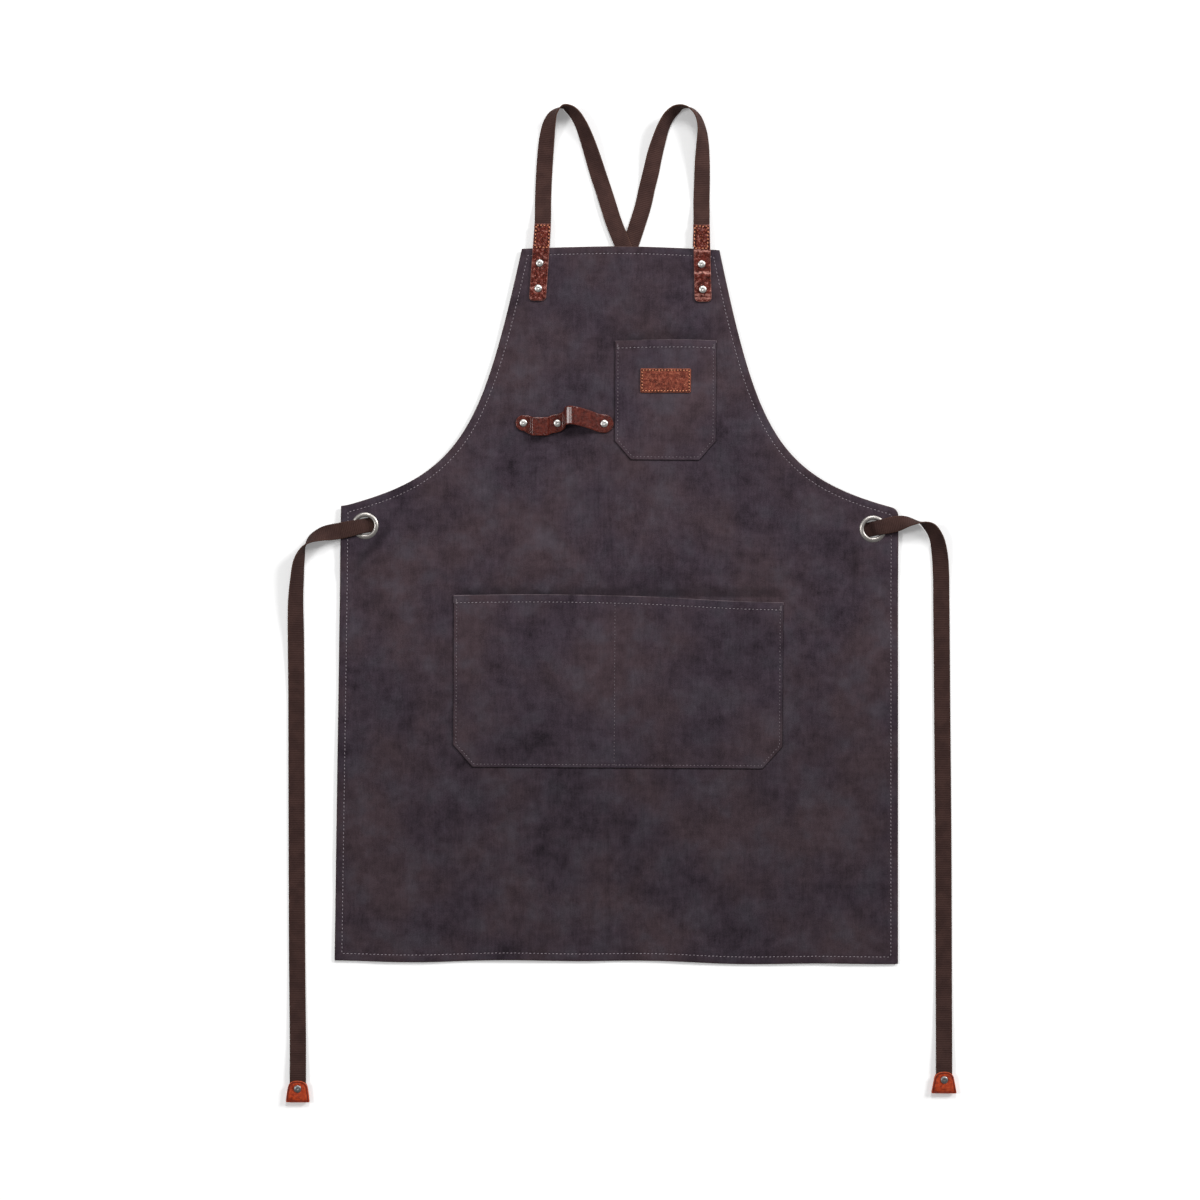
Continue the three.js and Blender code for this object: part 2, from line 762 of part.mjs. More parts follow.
// At the grommet the tie has a round end, so that it can swing there, and the webbing
// behind the panel has a hollow one.
function addWebbing(near, far, { stops, neck, grommet }) {
  const last = stops.length - 1;
  const cut = { start: true, end: true };
  add(`${near}_strap_end`, webbingGeometry(stops, 0, HINGE, 1, { end: true }), WEBBING);
  add(`${near}_shoulder_strap`, webbingGeometry(stops, HINGE, neck, 2, cut), WEBBING);

  const side = Math.sign(stops[grommet][0]);
  const [x, y] = [side * grommetX, grommetY];
  const knuckle = webInGrommet / 2;
  const hollow = drill(x, y, knuckle + seat, -1, bibFace + 10, 24);
  const run = solidOf(webbingGeometry(stops, neck, grommet, 2, { start: true }));
  add(`${near}_back_run`, geometryOf(run.subtract(hollow)), WEBBING);

  const round = drill(x, y, knuckle, -1, bibFace + 10, 24);
  const [inner, outer] = [x - side * 30, x].sort((a, b) => a - b);
  const behind = box(inner, outer, y - 30, y + 30, -2, bibFace + 11);
  const full = solidOf(webbingGeometry(stops, grommet - 1, last, 2, {}));
  const [tipX, tipY] = stops[last];
  const rivetY = tipY + webbingInTip - tipRivetDrop;
  const hole = drill(tipX, rivetY, postHole, -1, 20, 12);
  const tie = full.subtract(behind.subtract(round)).subtract(hole);
  add(`${far}_waist_tie`, geometryOf(tie), WEBBING);
  addTip(far, tipX, tipY + webbingInTip);
}

// ---------- tie tips ----------

const webbingInTip = tipLength - tipFold - seat;
const tipThickness = 2 * tipLeaf + 2 * seat + webThickness;

// One piece of leather folded over the end of the webbing, wider at its fold.
function tipGeometry(x, top) {
  const head = tipTopWidth / 2 + 1;
  const foot = tipFootWidth / 2;
  const shape = new THREE.Shape();
  shape.moveTo(head - 3, top);
  shape.quadraticCurveTo(head, top, head, top - 5);
  shape.quadraticCurveTo(head, top - 0.7 * tipLength, foot, top - 0.88 * tipLength);
  shape.quadraticCurveTo(foot, top - tipLength, foot - 3, top - tipLength);
  shape.lineTo(3 - foot, top - tipLength);
  shape.quadraticCurveTo(-foot, top - tipLength, -foot, top - 0.88 * tipLength);
  shape.quadraticCurveTo(-head, top - 0.7 * tipLength, -head, top - 5);
  shape.quadraticCurveTo(-head, top, 3 - head, top);
  const outline = shape.getPoints(4).reverse();
  const blank = prism(outline, tipFloor, tipFloor + tipThickness).translate(x, 0, 0);
  const slotFloor = tipFloor + tipLeaf;
  const slotTop = slotFloor + webThickness + 2 * seat;
  const slotEdge = webWidth / 2 + seat;
  const slotEnd = top - webbingInTip - seat;
  const slot = box(x - slotEdge, x + slotEdge, slotEnd, top + 1, slotFloor, slotTop);
  const rivetY = top - tipRivetDrop;
  const hole = drill(x, rivetY, postHole, 0, tipFloor + tipThickness + 1, 12);
  return geometryOf(solidOf(blank).subtract(slot).subtract(hole));
}

function addTip(label, x, top) {
  add(`${label}_tie_tip`, tipGeometry(x, top), TAN_LEATHER);
  const rivetY = top - tipRivetDrop;
  addRivet(`${label}_tip_rivet`, x, rivetY, tipFloor + tipThickness, tipFloor);
}

addWebbing('left', 'right', LEFT_WEBBING);
addWebbing('right', 'left', RIGHT_WEBBING);

export default group;
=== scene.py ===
# Butcher apron of waxed canvas, with cross-back webbing and leather fittings, laid out
# flat with its front up. Metres, +X across, +Y from the hem to the bib, +Z up.

import bpy
import math
import numpy as np
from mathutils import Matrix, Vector, geometry


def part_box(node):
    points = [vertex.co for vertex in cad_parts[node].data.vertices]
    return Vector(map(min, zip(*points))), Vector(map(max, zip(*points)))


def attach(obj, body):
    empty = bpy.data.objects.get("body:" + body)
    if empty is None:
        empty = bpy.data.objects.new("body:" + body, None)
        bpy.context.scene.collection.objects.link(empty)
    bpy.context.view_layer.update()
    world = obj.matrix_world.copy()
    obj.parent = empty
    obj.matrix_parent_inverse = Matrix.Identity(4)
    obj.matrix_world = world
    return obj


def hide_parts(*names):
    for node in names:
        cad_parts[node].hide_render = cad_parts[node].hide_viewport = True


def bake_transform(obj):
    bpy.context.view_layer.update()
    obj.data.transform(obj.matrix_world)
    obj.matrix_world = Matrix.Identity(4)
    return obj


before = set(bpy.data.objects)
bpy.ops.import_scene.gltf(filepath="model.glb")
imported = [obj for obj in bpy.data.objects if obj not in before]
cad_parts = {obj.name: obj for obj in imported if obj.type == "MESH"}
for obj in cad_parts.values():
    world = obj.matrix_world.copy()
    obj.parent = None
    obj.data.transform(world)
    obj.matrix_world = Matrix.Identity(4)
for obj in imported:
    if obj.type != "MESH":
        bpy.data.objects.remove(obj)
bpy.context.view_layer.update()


# ---------- camera, light and floor ----------
# A camera straight above the apron, a big low soft light from the right, two higher ones
# beyond the bib and on the left, an even pale sky, and a plain white floor.

camera = bpy.data.objects.new("Camera", bpy.data.cameras.new("Camera"))
camera.data.sensor_width = 36
camera.data.lens = 85
camera.location = (-0.02242, -0.00848, 3.431)
camera.rotation_euler = (0, 0, math.radians(0.35))
bpy.context.scene.collection.objects.link(camera)
bpy.context.scene.camera = camera
bpy.context.scene.view_settings.view_transform = "Standard"


def soft_light(name, place, size, power):
    """A round studio light that faces the middle of the floor."""
    light = bpy.data.objects.new(name, bpy.data.lights.new(name, "AREA"))
    light.data.shape = "DISK"
    light.data.size = size
    light.data.energy = power
    light.location = place
    light.rotation_euler = Vector(place).to_track_quat("Z", "Y").to_euler()
    bpy.context.scene.collection.objects.link(light)


soft_light("Side_light", (7.2, 4.8, 4.9), size=3.2, power=700)
soft_light("Top_light", (0.2, 5.4, 5.2), size=2.6, power=235)
soft_light("Left_light", (-4.2, 0.6, 4.6), size=1.3, power=115)
sky = bpy.data.worlds.new("Sky")
sky.use_nodes = True
sky.node_tree.nodes["Background"].inputs["Color"].default_value = (1, 1, 1, 1)
sky.node_tree.nodes["Background"].inputs["Strength"].default_value = 0.22
bpy.context.scene.world = sky


class Signal:
    """What a shader socket gives out, for use in sums."""

    def __init__(self, finish, socket):
        self.finish = finish
        self.socket = socket

    def maths(self, operation, *values):
        terms = dict(enumerate((self,) + values))
        return self.finish.node("Math", {"operation": operation}, terms)

    def __add__(self, other):
        return self.maths("ADD", other)

    def __mul__(self, other):
        return self.maths("MULTIPLY", other)

    def __sub__(self, other):
        return self.maths("SUBTRACT", other)

    def __rsub__(self, other):
        return self.maths("MULTIPLY", -1.0).maths("ADD", other)

    __radd__ = __add__

    def sine(self):
        return self.maths("SINE")

    def size(self):
        return self.maths("ABSOLUTE")

    def between(self, low, high):
        """Eases from 0 at low to 1 at high."""
        settings = {"interpolation_type": "SMOOTHSTEP"}
        ends = {"From Min": low, "From Max": high}
        return self.finish.node("MapRange", settings, {"Value": self, **ends})


class Finish:
    """A material, built up from nodes."""

    def __init__(self, name, **constants):
        self.material = bpy.data.materials.new(name)
        self.material.use_nodes = True
        self.tree = self.material.node_tree
        self.shader = self.tree.nodes["Principled BSDF"]
        for socket, value in constants.items():
            self.shader.inputs[socket.replace("_", " ")].default_value = value

    def node(self, kind, settings=None, inputs=None, output=0):
        made = self.tree.nodes.new("ShaderNode" + kind)
        for key, value in (settings or {}).items():
            setattr(made, key, value)
        for key, value in (inputs or {}).items():
            self.feed(made.inputs[key], value)
        return Signal(self, made.outputs[output])

    def feed(self, socket, value):
        if isinstance(value, Signal):
            self.tree.links.new(value.socket, socket)
        else:
            socket.default_value = value

    def place(self):
        return self.node("TexCoord", output="Object")

    def stretched(self, x, y, z):
        """The place on the piece, with its scale changed along each axis."""
        return self.node("Mapping", None, {"Vector": self.place(), "Scale": (x, y, z)})

    def noise(self, vector, scale, detail=3.0, roughness=0.5):
        inputs = {"Vector": vector, "Scale": scale, "Detail": detail, "Roughness": roughness}
        return self.node("TexNoise", None, inputs)

    def mixed(self, factor, first, second):
        settings = {"data_type": "RGBA"}
        inputs = {0: factor, 6: first, 7: second}
        return self.node("Mix", settings, inputs, output=2)

    def lit(self, colour, amount):
        """A colour made brighter or darker by an amount round 1."""
        settings = {"operation": "SCALE"}
        return self.node("VectorMath", settings, {0: colour, "Scale": amount})

    def split(self, vector):
        """The first and second number of a vector."""
        first = self.node("SeparateXYZ", None, {0: vector})
        return first, Signal(self, first.socket.node.outputs["Y"])

    def parts(self, map_name):
        """The two numbers of a map on the piece."""
        return self.split(self.node("UVMap", {"uv_map": map_name}))

    def raised(self, height, distance, strength=1.0):
        inputs = {"Height": height, "Distance": distance, "Strength": strength}
        self.feed(self.shader.inputs["Normal"], self.node("Bump", None, inputs))

    def coloured(self, colour):
        self.feed(self.shader.inputs["Base Color"], colour)

    def rough(self, amount):
        self.feed(self.shader.inputs["Roughness"], amount)


def paint(red, green, blue):
    """A shader colour from everyday 0 to 255 colour numbers."""
    linear = []
    for part in (red, green, blue):
        share = part / 255
        linear.append(share / 12.92 if share < 0.04045 else ((share + 0.055) / 1.055) ** 2.4)
    return (*linear, 1)


FLOOR_HALF = 9
floor_mesh = bpy.data.meshes.new("Floor")
corners = [(-FLOOR_HALF, -FLOOR_HALF, 0), (FLOOR_HALF, -FLOOR_HALF, 0),
           (FLOOR_HALF, FLOOR_HALF, 0), (-FLOOR_HALF, FLOOR_HALF, 0)]
floor_mesh.from_pydata(corners, [], [(0, 1, 2, 3)])
floor = bpy.data.objects.new("Floor", floor_mesh)
floor.location.z = -0.0004
bpy.context.scene.collection.objects.link(floor)
table_white = Finish("Table_white", Roughness=0.9, Specular_IOR_Level=0.0,
                     Emission_Color=(1, 1, 1, 1), Emission_Strength=0.17)
table_speck = table_white.noise(table_white.place(), 300.0)
table_white.coloured(table_white.mixed(table_speck, (0.9, 0.9, 0.9, 1), (0.92, 0.92, 0.92, 1)))
floor_mesh.materials.append(table_white.material)


# ---------- canvas panel ----------
# One piece of heavy waxed canvas, cut to shape, its edges turned under once and sewn
# down. It lies on the table, and the bib lies over the crossed webbing behind it.

CLOTH = 0.0012
HEM_FOLD = 0.0008
HEM_WIDTH = 0.010
HEM_SEAM = 0.0088
BIB_HALF = 0.1196
WAIST_HALF = 0.3364
HEMLINE_HALF = 0.341
TOP_BOW = 0.0035
GROMMET_HOLE = 0.0122


def middle_of(node):
    """Where a piece's middle lies, seen from above."""
    low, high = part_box(node)
    return (low.x + high.x) / 2, (low.y + high.y) / 2


panel_low, panel_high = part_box("main_panel")
BOTTOM = panel_low.y
BIB_TOP = panel_high.y - TOP_BOW
WAIST_Y = BIB_TOP - 0.3122
BIB_RAISE = panel_high.z - CLOTH - HEM_FOLD
GROMMET_X, GROMMET_Y = middle_of("right_grommet")


def eased(value, low, high):
    t = np.clip((value - low) / (high - low), 0, 1)
    return t * t * (3 - 2 * t)


def curve(points, count):
    """A Bezier curve through its first and last points, without its last point."""
    t = np.linspace(0, 1, count, endpoint=False)[:, None]
    points = [np.array(p, float) for p in points]
    while len(points) > 1:
        points = [a * (1 - t) + b * t for a, b in zip(points, points[1:])]
    return points[0]


def spaced(outline, spacing):
    """A closed outline with its points evenly spaced between its sharp corners."""
    made = []
    for start, end in zip(outline, np.roll(outline, -1, 0)):
        steps = max(1, round(np.hypot(*(end - start)) / spacing))
        made.append(start + (end - start) * np.linspace(0, 1, steps, endpoint=False)[:, None])
    return np.concatenate(made)


def panel_outline():
    hem = curve([(-HEMLINE_HALF, BOTTOM), (HEMLINE_HALF, BOTTOM)], 190)
    x = hem[:, 0]
    hem[:, 1] += 0.0014 * np.cos((x + 0.04) / 0.079) + 0.0008 * np.sin(x / 0.031)
    right_side = [(HEMLINE_HALF, BOTTOM), (WAIST_HALF + 0.0014, WAIST_Y - 0.0065)]
    round_corner = [(WAIST_HALF + 0.0014, WAIST_Y - 0.0065), (WAIST_HALF, WAIST_Y),
                    (WAIST_HALF - 0.0065, WAIST_Y + 0.0022)]
    right_arm = [(WAIST_HALF - 0.0065, WAIST_Y + 0.0022), (WAIST_HALF - 0.145, WAIST_Y + 0.039),
                 (BIB_HALF + 0.0472, BIB_TOP - 0.2204), (BIB_HALF, BIB_TOP)]
    top = [(BIB_HALF, BIB_TOP), (0, BIB_TOP + 2 * TOP_BOW), (-BIB_HALF, BIB_TOP)]
    left_arm = [(-BIB_HALF, BIB_TOP), (-BIB_HALF - 0.0472, BIB_TOP - 0.2204),
                (-WAIST_HALF + 0.145, WAIST_Y + 0.039), (-WAIST_HALF + 0.008, WAIST_Y + 0.0012)]
    left_corner = [(-WAIST_HALF + 0.008, WAIST_Y + 0.0012), (-WAIST_HALF, WAIST_Y)]
    left_side = [(-WAIST_HALF, WAIST_Y), (-HEMLINE_HALF, BOTTOM)]
    rows = [hem, curve(right_side, 150), curve(round_corner, 8), curve(right_arm, 118),
            curve(top, 66), curve(left_arm, 118), curve(left_corner, 3), curve(left_side, 152)]
    return np.concatenate(rows)


def depth_in(outline, points):
    """How far each point lies inside an outline, below 0 where it lies outside."""
    best = np.full(len(points), np.inf)
    crossings = np.zeros(len(points), int)
    for start, end in zip(outline, np.roll(outline, -1, 0)):
        run = end - start
        away = points - start
        along = np.clip(away @ run / (run @ run), 0, 1)
        gap = away - along[:, None] * run
        best = np.minimum(best, gap[:, 0] ** 2 + gap[:, 1] ** 2)
        if start[1] != end[1]:
            spans = (start[1] > points[:, 1]) != (end[1] > points[:, 1])
            reach = start[0] + run[0] * away[:, 1] / run[1]
            crossings += spans & (points[:, 0] < reach)
    return np.sqrt(best) * np.where(crossings % 2 == 1, 1, -1)


def inwards(outline):
    """The direction into an outline at each of its points, longer at sharp corners."""
    before = outline - np.roll(outline, 1, 0)
    after = np.roll(outline, -1, 0) - outline
    before /= np.linalg.norm(before, axis=1)[:, None]
    after /= np.linalg.norm(after, axis=1)[:, None]
    normal = np.stack([-before[:, 1] - after[:, 1], before[:, 0] + after[:, 0]], 1)
    return 2 * normal / (normal ** 2).sum(1)[:, None]


def inset_line(outline, inset, share=0.96):
    """The line inside an outline at a distance, without the points that cross at corners."""
    line = outline + inwards(outline) * inset
    return line[depth_in(outline, line) > share * inset]


def closed(line):
    return np.concatenate([line, line[:1]])


def keep(mesh_name, vertices, faces, finish, maps=None):
    """A smooth piece with its finish, and with maps that give two numbers a vertex."""
    mesh = bpy.data.meshes.new(mesh_name)
    mesh.from_pydata(vertices.tolist(), [], faces)
    mesh.shade_smooth()
    for map_name, numbers in (maps or {}).items():
        layer = mesh.uv_layers.new(name=map_name)
        index = np.zeros(len(mesh.loops), np.int32)
        mesh.loops.foreach_get("vertex_index", index)
        layer.uv.foreach_set("vector", numbers[index].astype(np.float32).ravel())
    mesh.materials.append(finish.material)
    piece = bpy.data.objects.new(mesh_name, mesh)
    bpy.context.scene.collection.objects.link(piece)
    return piece


HOLE_SIDES = 64
HOLE_MARGIN = 0.0095
ROW_STEP = 0.866


def slab(name, outline, heights, rings, spacing, rim, finish, holes=()):
    """A closed sheet of cloth or leather. heights gives its top and underside from x, y
    and the distance from the edge. Rings are the distances that get their own points."""
    loops = [outline]
    points = [outline]
    inner = inwards(outline)
    rounding = [0.12 * rim, 0.4 * rim, rim]
    rings = rounding + list(rings)
    for ring in rings:
        moved = outline + inner * ring
        points.append(moved[depth_in(outline, moved) > 0.96 * ring])
    for x, y, radius in holes:
        for extra in (0, *rounding, 0.0022, 0.0045, 0.0075):
            turn = np.arange(HOLE_SIDES) * math.tau / HOLE_SIDES
            circle = np.stack([x + (radius + extra) * np.cos(turn),
                               y + (radius + extra) * np.sin(turn)], 1)
            points.append(circle)
            if extra == 0:
                loops.append(circle)
    low = outline.min(0)
    high = outline.max(0)
    columns = np.arange(low[0], high[0], spacing)
    lines = np.arange(low[1], high[1], spacing * ROW_STEP)
    x, y = np.meshgrid(columns, lines)
    x[1::2] += spacing / 2
    lattice = np.stack([x.ravel(), y.ravel()], 1)
    clear = depth_in(outline, lattice) > rings[-1] + 0.55 * spacing
    for x, y, radius in holes:
        clear &= np.hypot(lattice[:, 0] - x, lattice[:, 1] - y) > radius + HOLE_MARGIN
    points.append(lattice[clear])
    edges = []
    start = 0
    for block in points:
        if any(block is loop for loop in loops):
            count = len(block)
            edges += [(start + i, start + (i + 1) % count) for i in range(count)]
        start += len(block)
    flat = [Vector(p) for p in np.concatenate(points).tolist()]
    corners, _, faces, *_ = geometry.delaunay_2d_cdt(flat, edges, [], 0, 1e-7)
    corners = np.array([tuple(c) for c in corners])
    faces = np.array(faces)
    middle = corners[faces].mean(1)
    inside = depth_in(outline, middle) > 0
    edge = np.abs(depth_in(outline, corners))
    for x, y, radius in holes:
        inside &= np.hypot(middle[:, 0] - x, middle[:, 1] - y) > radius * 0.999
        gap = np.abs(np.hypot(corners[:, 0] - x, corners[:, 1] - y) - radius)
        edge = np.minimum(edge, gap)
    faces = faces[inside]
    top, under = heights(corners[:, 0], corners[:, 1], edge)
    roundness = np.sqrt(1 - (1 - np.minimum(edge / rim, 1)) ** 2)
    centre = (top + under) / 2
    half = (top - under) / 2 * roundness
    rim_points = edge < 1e-6
    upper = np.column_stack([corners, centre + half])
    lower = np.column_stack([corners, centre - half])
    index = np.arange(len(corners))
    below = np.where(rim_points, index, len(corners) + np.cumsum(~rim_points) - 1)
    vertices = np.concatenate([upper, lower[~rim_points]])
    a, b, c = corners[faces[:, 0]], corners[faces[:, 1]], corners[faces[:, 2]]
    flipped = (b[:, 0] - a[:, 0]) * (c[:, 1] - a[:, 1]) < (b[:, 1] - a[:, 1]) * (c[:, 0] - a[:, 0])
    faces[flipped] = faces[flipped][:, ::-1]
    all_faces = faces.tolist() + below[faces][:, ::-1].tolist()
    side = np.concatenate([np.ones(len(corners)), np.zeros((~rim_points).sum())])
    maps = {"Edge": np.column_stack([np.concatenate([edge, edge[~rim_points]]), side])}
    return keep(name, vertices, all_faces, finish, maps)


def off_line(x, y, start, end):
    """How far along a line points lie, from 0 to 1 on it, and how far off it."""
    run = np.array(end) - start
    along = ((x - start[0]) * run[0] + (y - start[1]) * run[1]) / (run @ run)
    held = np.clip(along, 0, 1)
    return along, np.hypot(x - start[0] - held * run[0], y - start[1] - held * run[1])


def valley(x, y, start, end, height, width):
    """A soft crease along a line, fading out at both ends."""
    along, gap = off_line(x, y, start, end)
    fade = eased(along, -0.15, 0.25) * (1 - eased(along, 0.75, 1.15))
    return height * np.exp(-(gap / width) ** 2) * fade


def rolling(x, y):
    """The slow waves of a sheet that has been folded and laid out again."""
    waves = 0.00030 * np.sin(x / 0.031 + 1.2 * np.sin(y / 0.058))
    waves += 0.00034 * np.sin(y / 0.043 + 1.4 * np.sin(x / 0.067 + 0.7))
    waves += 0.00016 * np.sin((x + 0.8 * y) / 0.017 + 1.9 * np.sin(y / 0.049))
    waves += 0.00013 * np.sin((x - 0.7 * y) / 0.013 + 1.6 * np.sin(x / 0.041))
    return waves + 0.0009


# The webbing that the bib rests on, from the bib's top edge down to the two grommets.
BEHIND = [
    [(-0.008, 0.449), (0.0076, 0.4093), (0.025, 0.366), (0.052, 0.312), (0.090, 0.255),
     (0.140, 0.198), (0.196, 0.146), (0.246, 0.105), (0.277, 0.084), (0.307, 0.0796)],
    [(0.021, 0.449), (0.0076, 0.4093), (-0.009, 0.364), (-0.034, 0.312), (-0.072, 0.258),
     (-0.122, 0.203), (-0.180, 0.152), (-0.236, 0.112), (-0.276, 0.089), (-0.307, 0.0796)],
]


def off_webbing(x, y):
    """How far points lie from the webbing behind the bib."""
    nearest = np.full(np.shape(x), np.inf)
    for line in BEHIND:
        for start, end in zip(line, line[1:]):
            nearest = np.minimum(nearest, off_line(x, y, start, end)[1])
    return nearest


# Creases from folding and handling: start, end, height and width.
CREASES = [
    ((-0.0148, 0.150), (-0.0043, -0.012), 0.00075, 0.0018),
    ((-0.0140, -0.235), (-0.0070, -0.425), 0.00065, 0.0018),
    ((-0.2680, 0.085), (-0.3230, 0.028), -0.0015, 0.0062),
    ((-0.2600, 0.076), (-0.3150, 0.019), 0.0015, 0.0066),
    ((-0.3200, 0.028), (-0.3262, -0.030), -0.0006, 0.0070),
    ((-0.2660, 0.125), (-0.2760, 0.080), -0.0008, 0.0090),
    ((0.2900, 0.060), (0.2780, 0.010), -0.0007, 0.0080),
    ((0.3150, 0.056), (0.3230, 0.010), 0.0005, 0.0060),
    ((-0.0100, 0.3140), (0.1200, 0.3120), -0.0012, 0.0080),
    ((-0.0900, 0.3700), (-0.0200, 0.3050), -0.0004, 0.0150),
]


def cloth_top(x, y):
    """The height of the canvas's face."""
    x = np.asarray(x, float)
    y = np.asarray(y, float)
    raised = BIB_RAISE * eased(y, 0.0096, 0.0496)
    hang = 0.0022 * eased(off_webbing(x, y), 0.012, 0.060) * eased(raised, 0.0015, 0.0038)
    level = raised + HEM_FOLD + CLOTH - hang + rolling(x, y)
    for crease in CREASES:
        level += valley(x, y, *crease)
    for side in (-1, 1):
        gap = np.hypot(x - side * GROMMET_X, y - GROMMET_Y)
        level -= 0.0003 * (1 - eased(gap, 0.015, 0.024))
    return np.maximum(level, HEM_FOLD + CLOTH)


def panel_heights(x, y, edge):
    seam = np.exp(-((edge - HEM_SEAM) / 0.0010) ** 2)
    pucker = 0.00012 * np.sin((x + 0.6 * y) / 0.0013) * np.exp(-((edge - 0.0065) / 0.004) ** 2)
    bound = edge < HEM_WIDTH
    swell = 0.0002 * np.sin(np.clip(edge / HEM_SEAM, 0, 1) * math.pi)
    face = cloth_top(x, y)
    top = face - 0.00035 * seam + pucker + np.where(bound, swell, 0)
    doubled = 1 - eased(edge, HEM_WIDTH - 0.0003, HEM_WIDTH + 0.0003)
    under = face - CLOTH - HEM_FOLD * doubled + 0.0002 * seam
    near_edge = np.hypot(np.abs(x) - GROMMET_X, y - GROMMET_Y) < 0.020
    under = np.where(near_edge, face - CLOTH, under)
    return top, under


# The weave's waves in radians a metre, so that a yarn is one millimetre wide.
WEAVE = 6283.0
# Beyond the whole apron, for cloth without a pocket's mouth.
NO_MOUTH = 9.0


def canvas(name, lighter, shift, rim_wear_and_shadow, wear_and_painted_light, mouth_shades=(), fold_shades=(), mouth=NO_MOUTH):
    """Waxed cotton canvas: a close plain weave, cloudy where the wax has moved, with painted
    shade above pocket mouths, each given as its left, right and lower edge and its depth, and
    painted shade along old folds, each given as its middle, turn, half length, half width and
    strength. The edge of a pocket's mouth, above the height given, gets a painted highlight."""
    finish = Finish(name, Specular_IOR_Level=0.12, Sheen_Weight=0.0)
    settings = {"operation": "ADD"}
    moved = finish.node("VectorMath", settings, {0: finish.place(), 1: (shift, shift, 0)})
    clouds = finish.noise(moved, 9.0, 4.0, 0.5)
    patches = finish.noise(moved, 27.0, 4.0, 0.55)
    smudges = finish.noise(moved, 85.0, 3.0, 0.6)
    upright = finish.noise(finish.stretched(150, 14, 1), 1.0, 2.0)
    level = finish.noise(finish.stretched(12, 160, 1), 1.0, 2.0)
    slub = finish.noise(finish.stretched(420, 70, 1), 1.0, 2.0)
    speck = finish.noise(moved, 900.0, 2.0, 0.7)
    plum = paint(66, 55, 65)
    umber = paint(65, 52, 57)
    slate = paint(61, 57, 64)
    hue = finish.mixed(clouds.between(0.36, 0.64), plum, umber)
    hue = finish.mixed(patches.between(0.44, 0.70) * 0.60, hue, slate)
    light = lighter + (patches - 0.5) * 1.15 + (smudges - 0.5) * 0.80 + (clouds - 0.5) * 1.50
    light = light + (upright - 0.5) * 0.28 + (level - 0.5) * 0.20
    light = light + (slub - 0.5) * 0.45 + (speck - 0.5) * 0.95
    across, along = finish.split(finish.place())
    # Painted shade: the canvas gets darker towards the hem, standing in for light that falls off
    # down the apron.
    light = light * (0.78 + along.between(-0.30, 0.10) * 0.22)
    edge, face = finish.parts("Edge")
    reach = along + (patches - 0.5) * 0.03
    # Painted shade above the pockets' mouths, where the canvas dips towards them.
    for left, right, low, deep in mouth_shades:
        inside = across.between(left - 0.006, left + 0.006)
        inside = inside * (1 - across.between(right - 0.006, right + 0.006))
        inside = inside * along.between(low - 0.004, low)
        inside = inside * (1 - reach.between(low + 0.2 * deep, low + deep))
        light = light * (1 - inside * face * (patches.between(0.25, 0.60) * 0.34 + 0.10))
    # Painted shade along old folds.
    for x, y, turn, half, width, strength in fold_shades:
        ahead = (across - x) * math.cos(turn) + (along - y) * math.sin(turn)
        beside = (along - y) * math.cos(turn) - (across - x) * math.sin(turn)
        shade = 1 - beside.size().between(0.0, width)
        shade = shade * (1 - ahead.size().between(0.5 * half, half))
        light = light * (1 - shade * face * strength)
    # On the panel the rim takes a paler worn colour. On the pockets it takes a dark painted shadow.
    hue = finish.mixed((1 - edge.between(0.0, 0.0013)) * wear_and_painted_light, hue, rim_wear_and_shadow)
    # A painted highlight along the edge of a pocket's mouth.
    mouth_highlight = (1 - edge.between(0.0, 0.0011)) * along.between(mouth - 0.001, mouth)
    hue = finish.mixed(mouth_highlight * patches.between(0.30, 0.60) * 0.8, hue, paint(118, 104, 110))
    hue = finish.mixed((1 - face) * 0.5, hue, paint(58, 50, 52))
    finish.coloured(finish.lit(hue, light))
    finish.rough(0.86 - (smudges - 0.5) * 0.5)
    yarns = (across * WEAVE).sine() * (along * WEAVE).sine()
    grain = yarns * 0.35 + speck * 0.8 + slub * 0.6 + smudges * 0.5
    finish.raised(grain, 0.00022, 0.75)
    return finish


# Painted shade above the pockets' mouths: left, right and lower edge, and depth.
MOUTH_SHADES = [(-0.196, 0.193, -0.002, 0.016), (-0.004, 0.112, 0.307, 0.015)]
# Painted shade along old folds: middle, turn, half length, half width and strength.
FOLD_SHADES = [
    (-0.2975, 0.0540, 0.82, 0.040, 0.0085, 0.36),
    (-0.0100, 0.0700, 1.635, 0.085, 0.0030, 0.16),
    (-0.0105, -0.3300, 1.60, 0.100, 0.0030, 0.14),
    (0.2860, 0.0350, 1.50, 0.026, 0.0080, 0.20),
]
panel_canvas = canvas("Panel_canvas", lighter=0.93, shift=0.0, rim_wear_and_shadow=paint(92, 70, 64),
                      wear_and_painted_light=0.7, mouth_shades=MOUTH_SHADES, fold_shades=FOLD_SHADES)
HOLES = [(side * GROMMET_X, GROMMET_Y, GROMMET_HOLE) for side in (-1, 1)]
PANEL_RINGS = (0.0024, 0.0044, 0.0064, 0.0078, 0.0088, 0.0097, 0.0103, 0.0125, 0.0155)
PANEL_EDGE = panel_outline()
panel = slab("Canvas_panel", PANEL_EDGE, panel_heights, PANEL_RINGS, spacing=0.0042,
             rim=0.0009, finish=panel_canvas, holes=HOLES)
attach(panel, "root")
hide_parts("main_panel")


def thread_finish(name, colour, dark):
    """Waxed cotton thread of three twisted strands."""
    finish = Finish(name, Specular_IOR_Level=0.3)
    fibre = finish.noise(finish.place(), 1400.0, 2.0)
    finish.coloured(finish.mixed(fibre.between(0.35, 0.65), dark, colour))
    finish.rough(0.65 + fibre * 0.2)
    finish.raised(fibre, 0.0001, 0.6)
    return finish


YARN_SIDES = 6


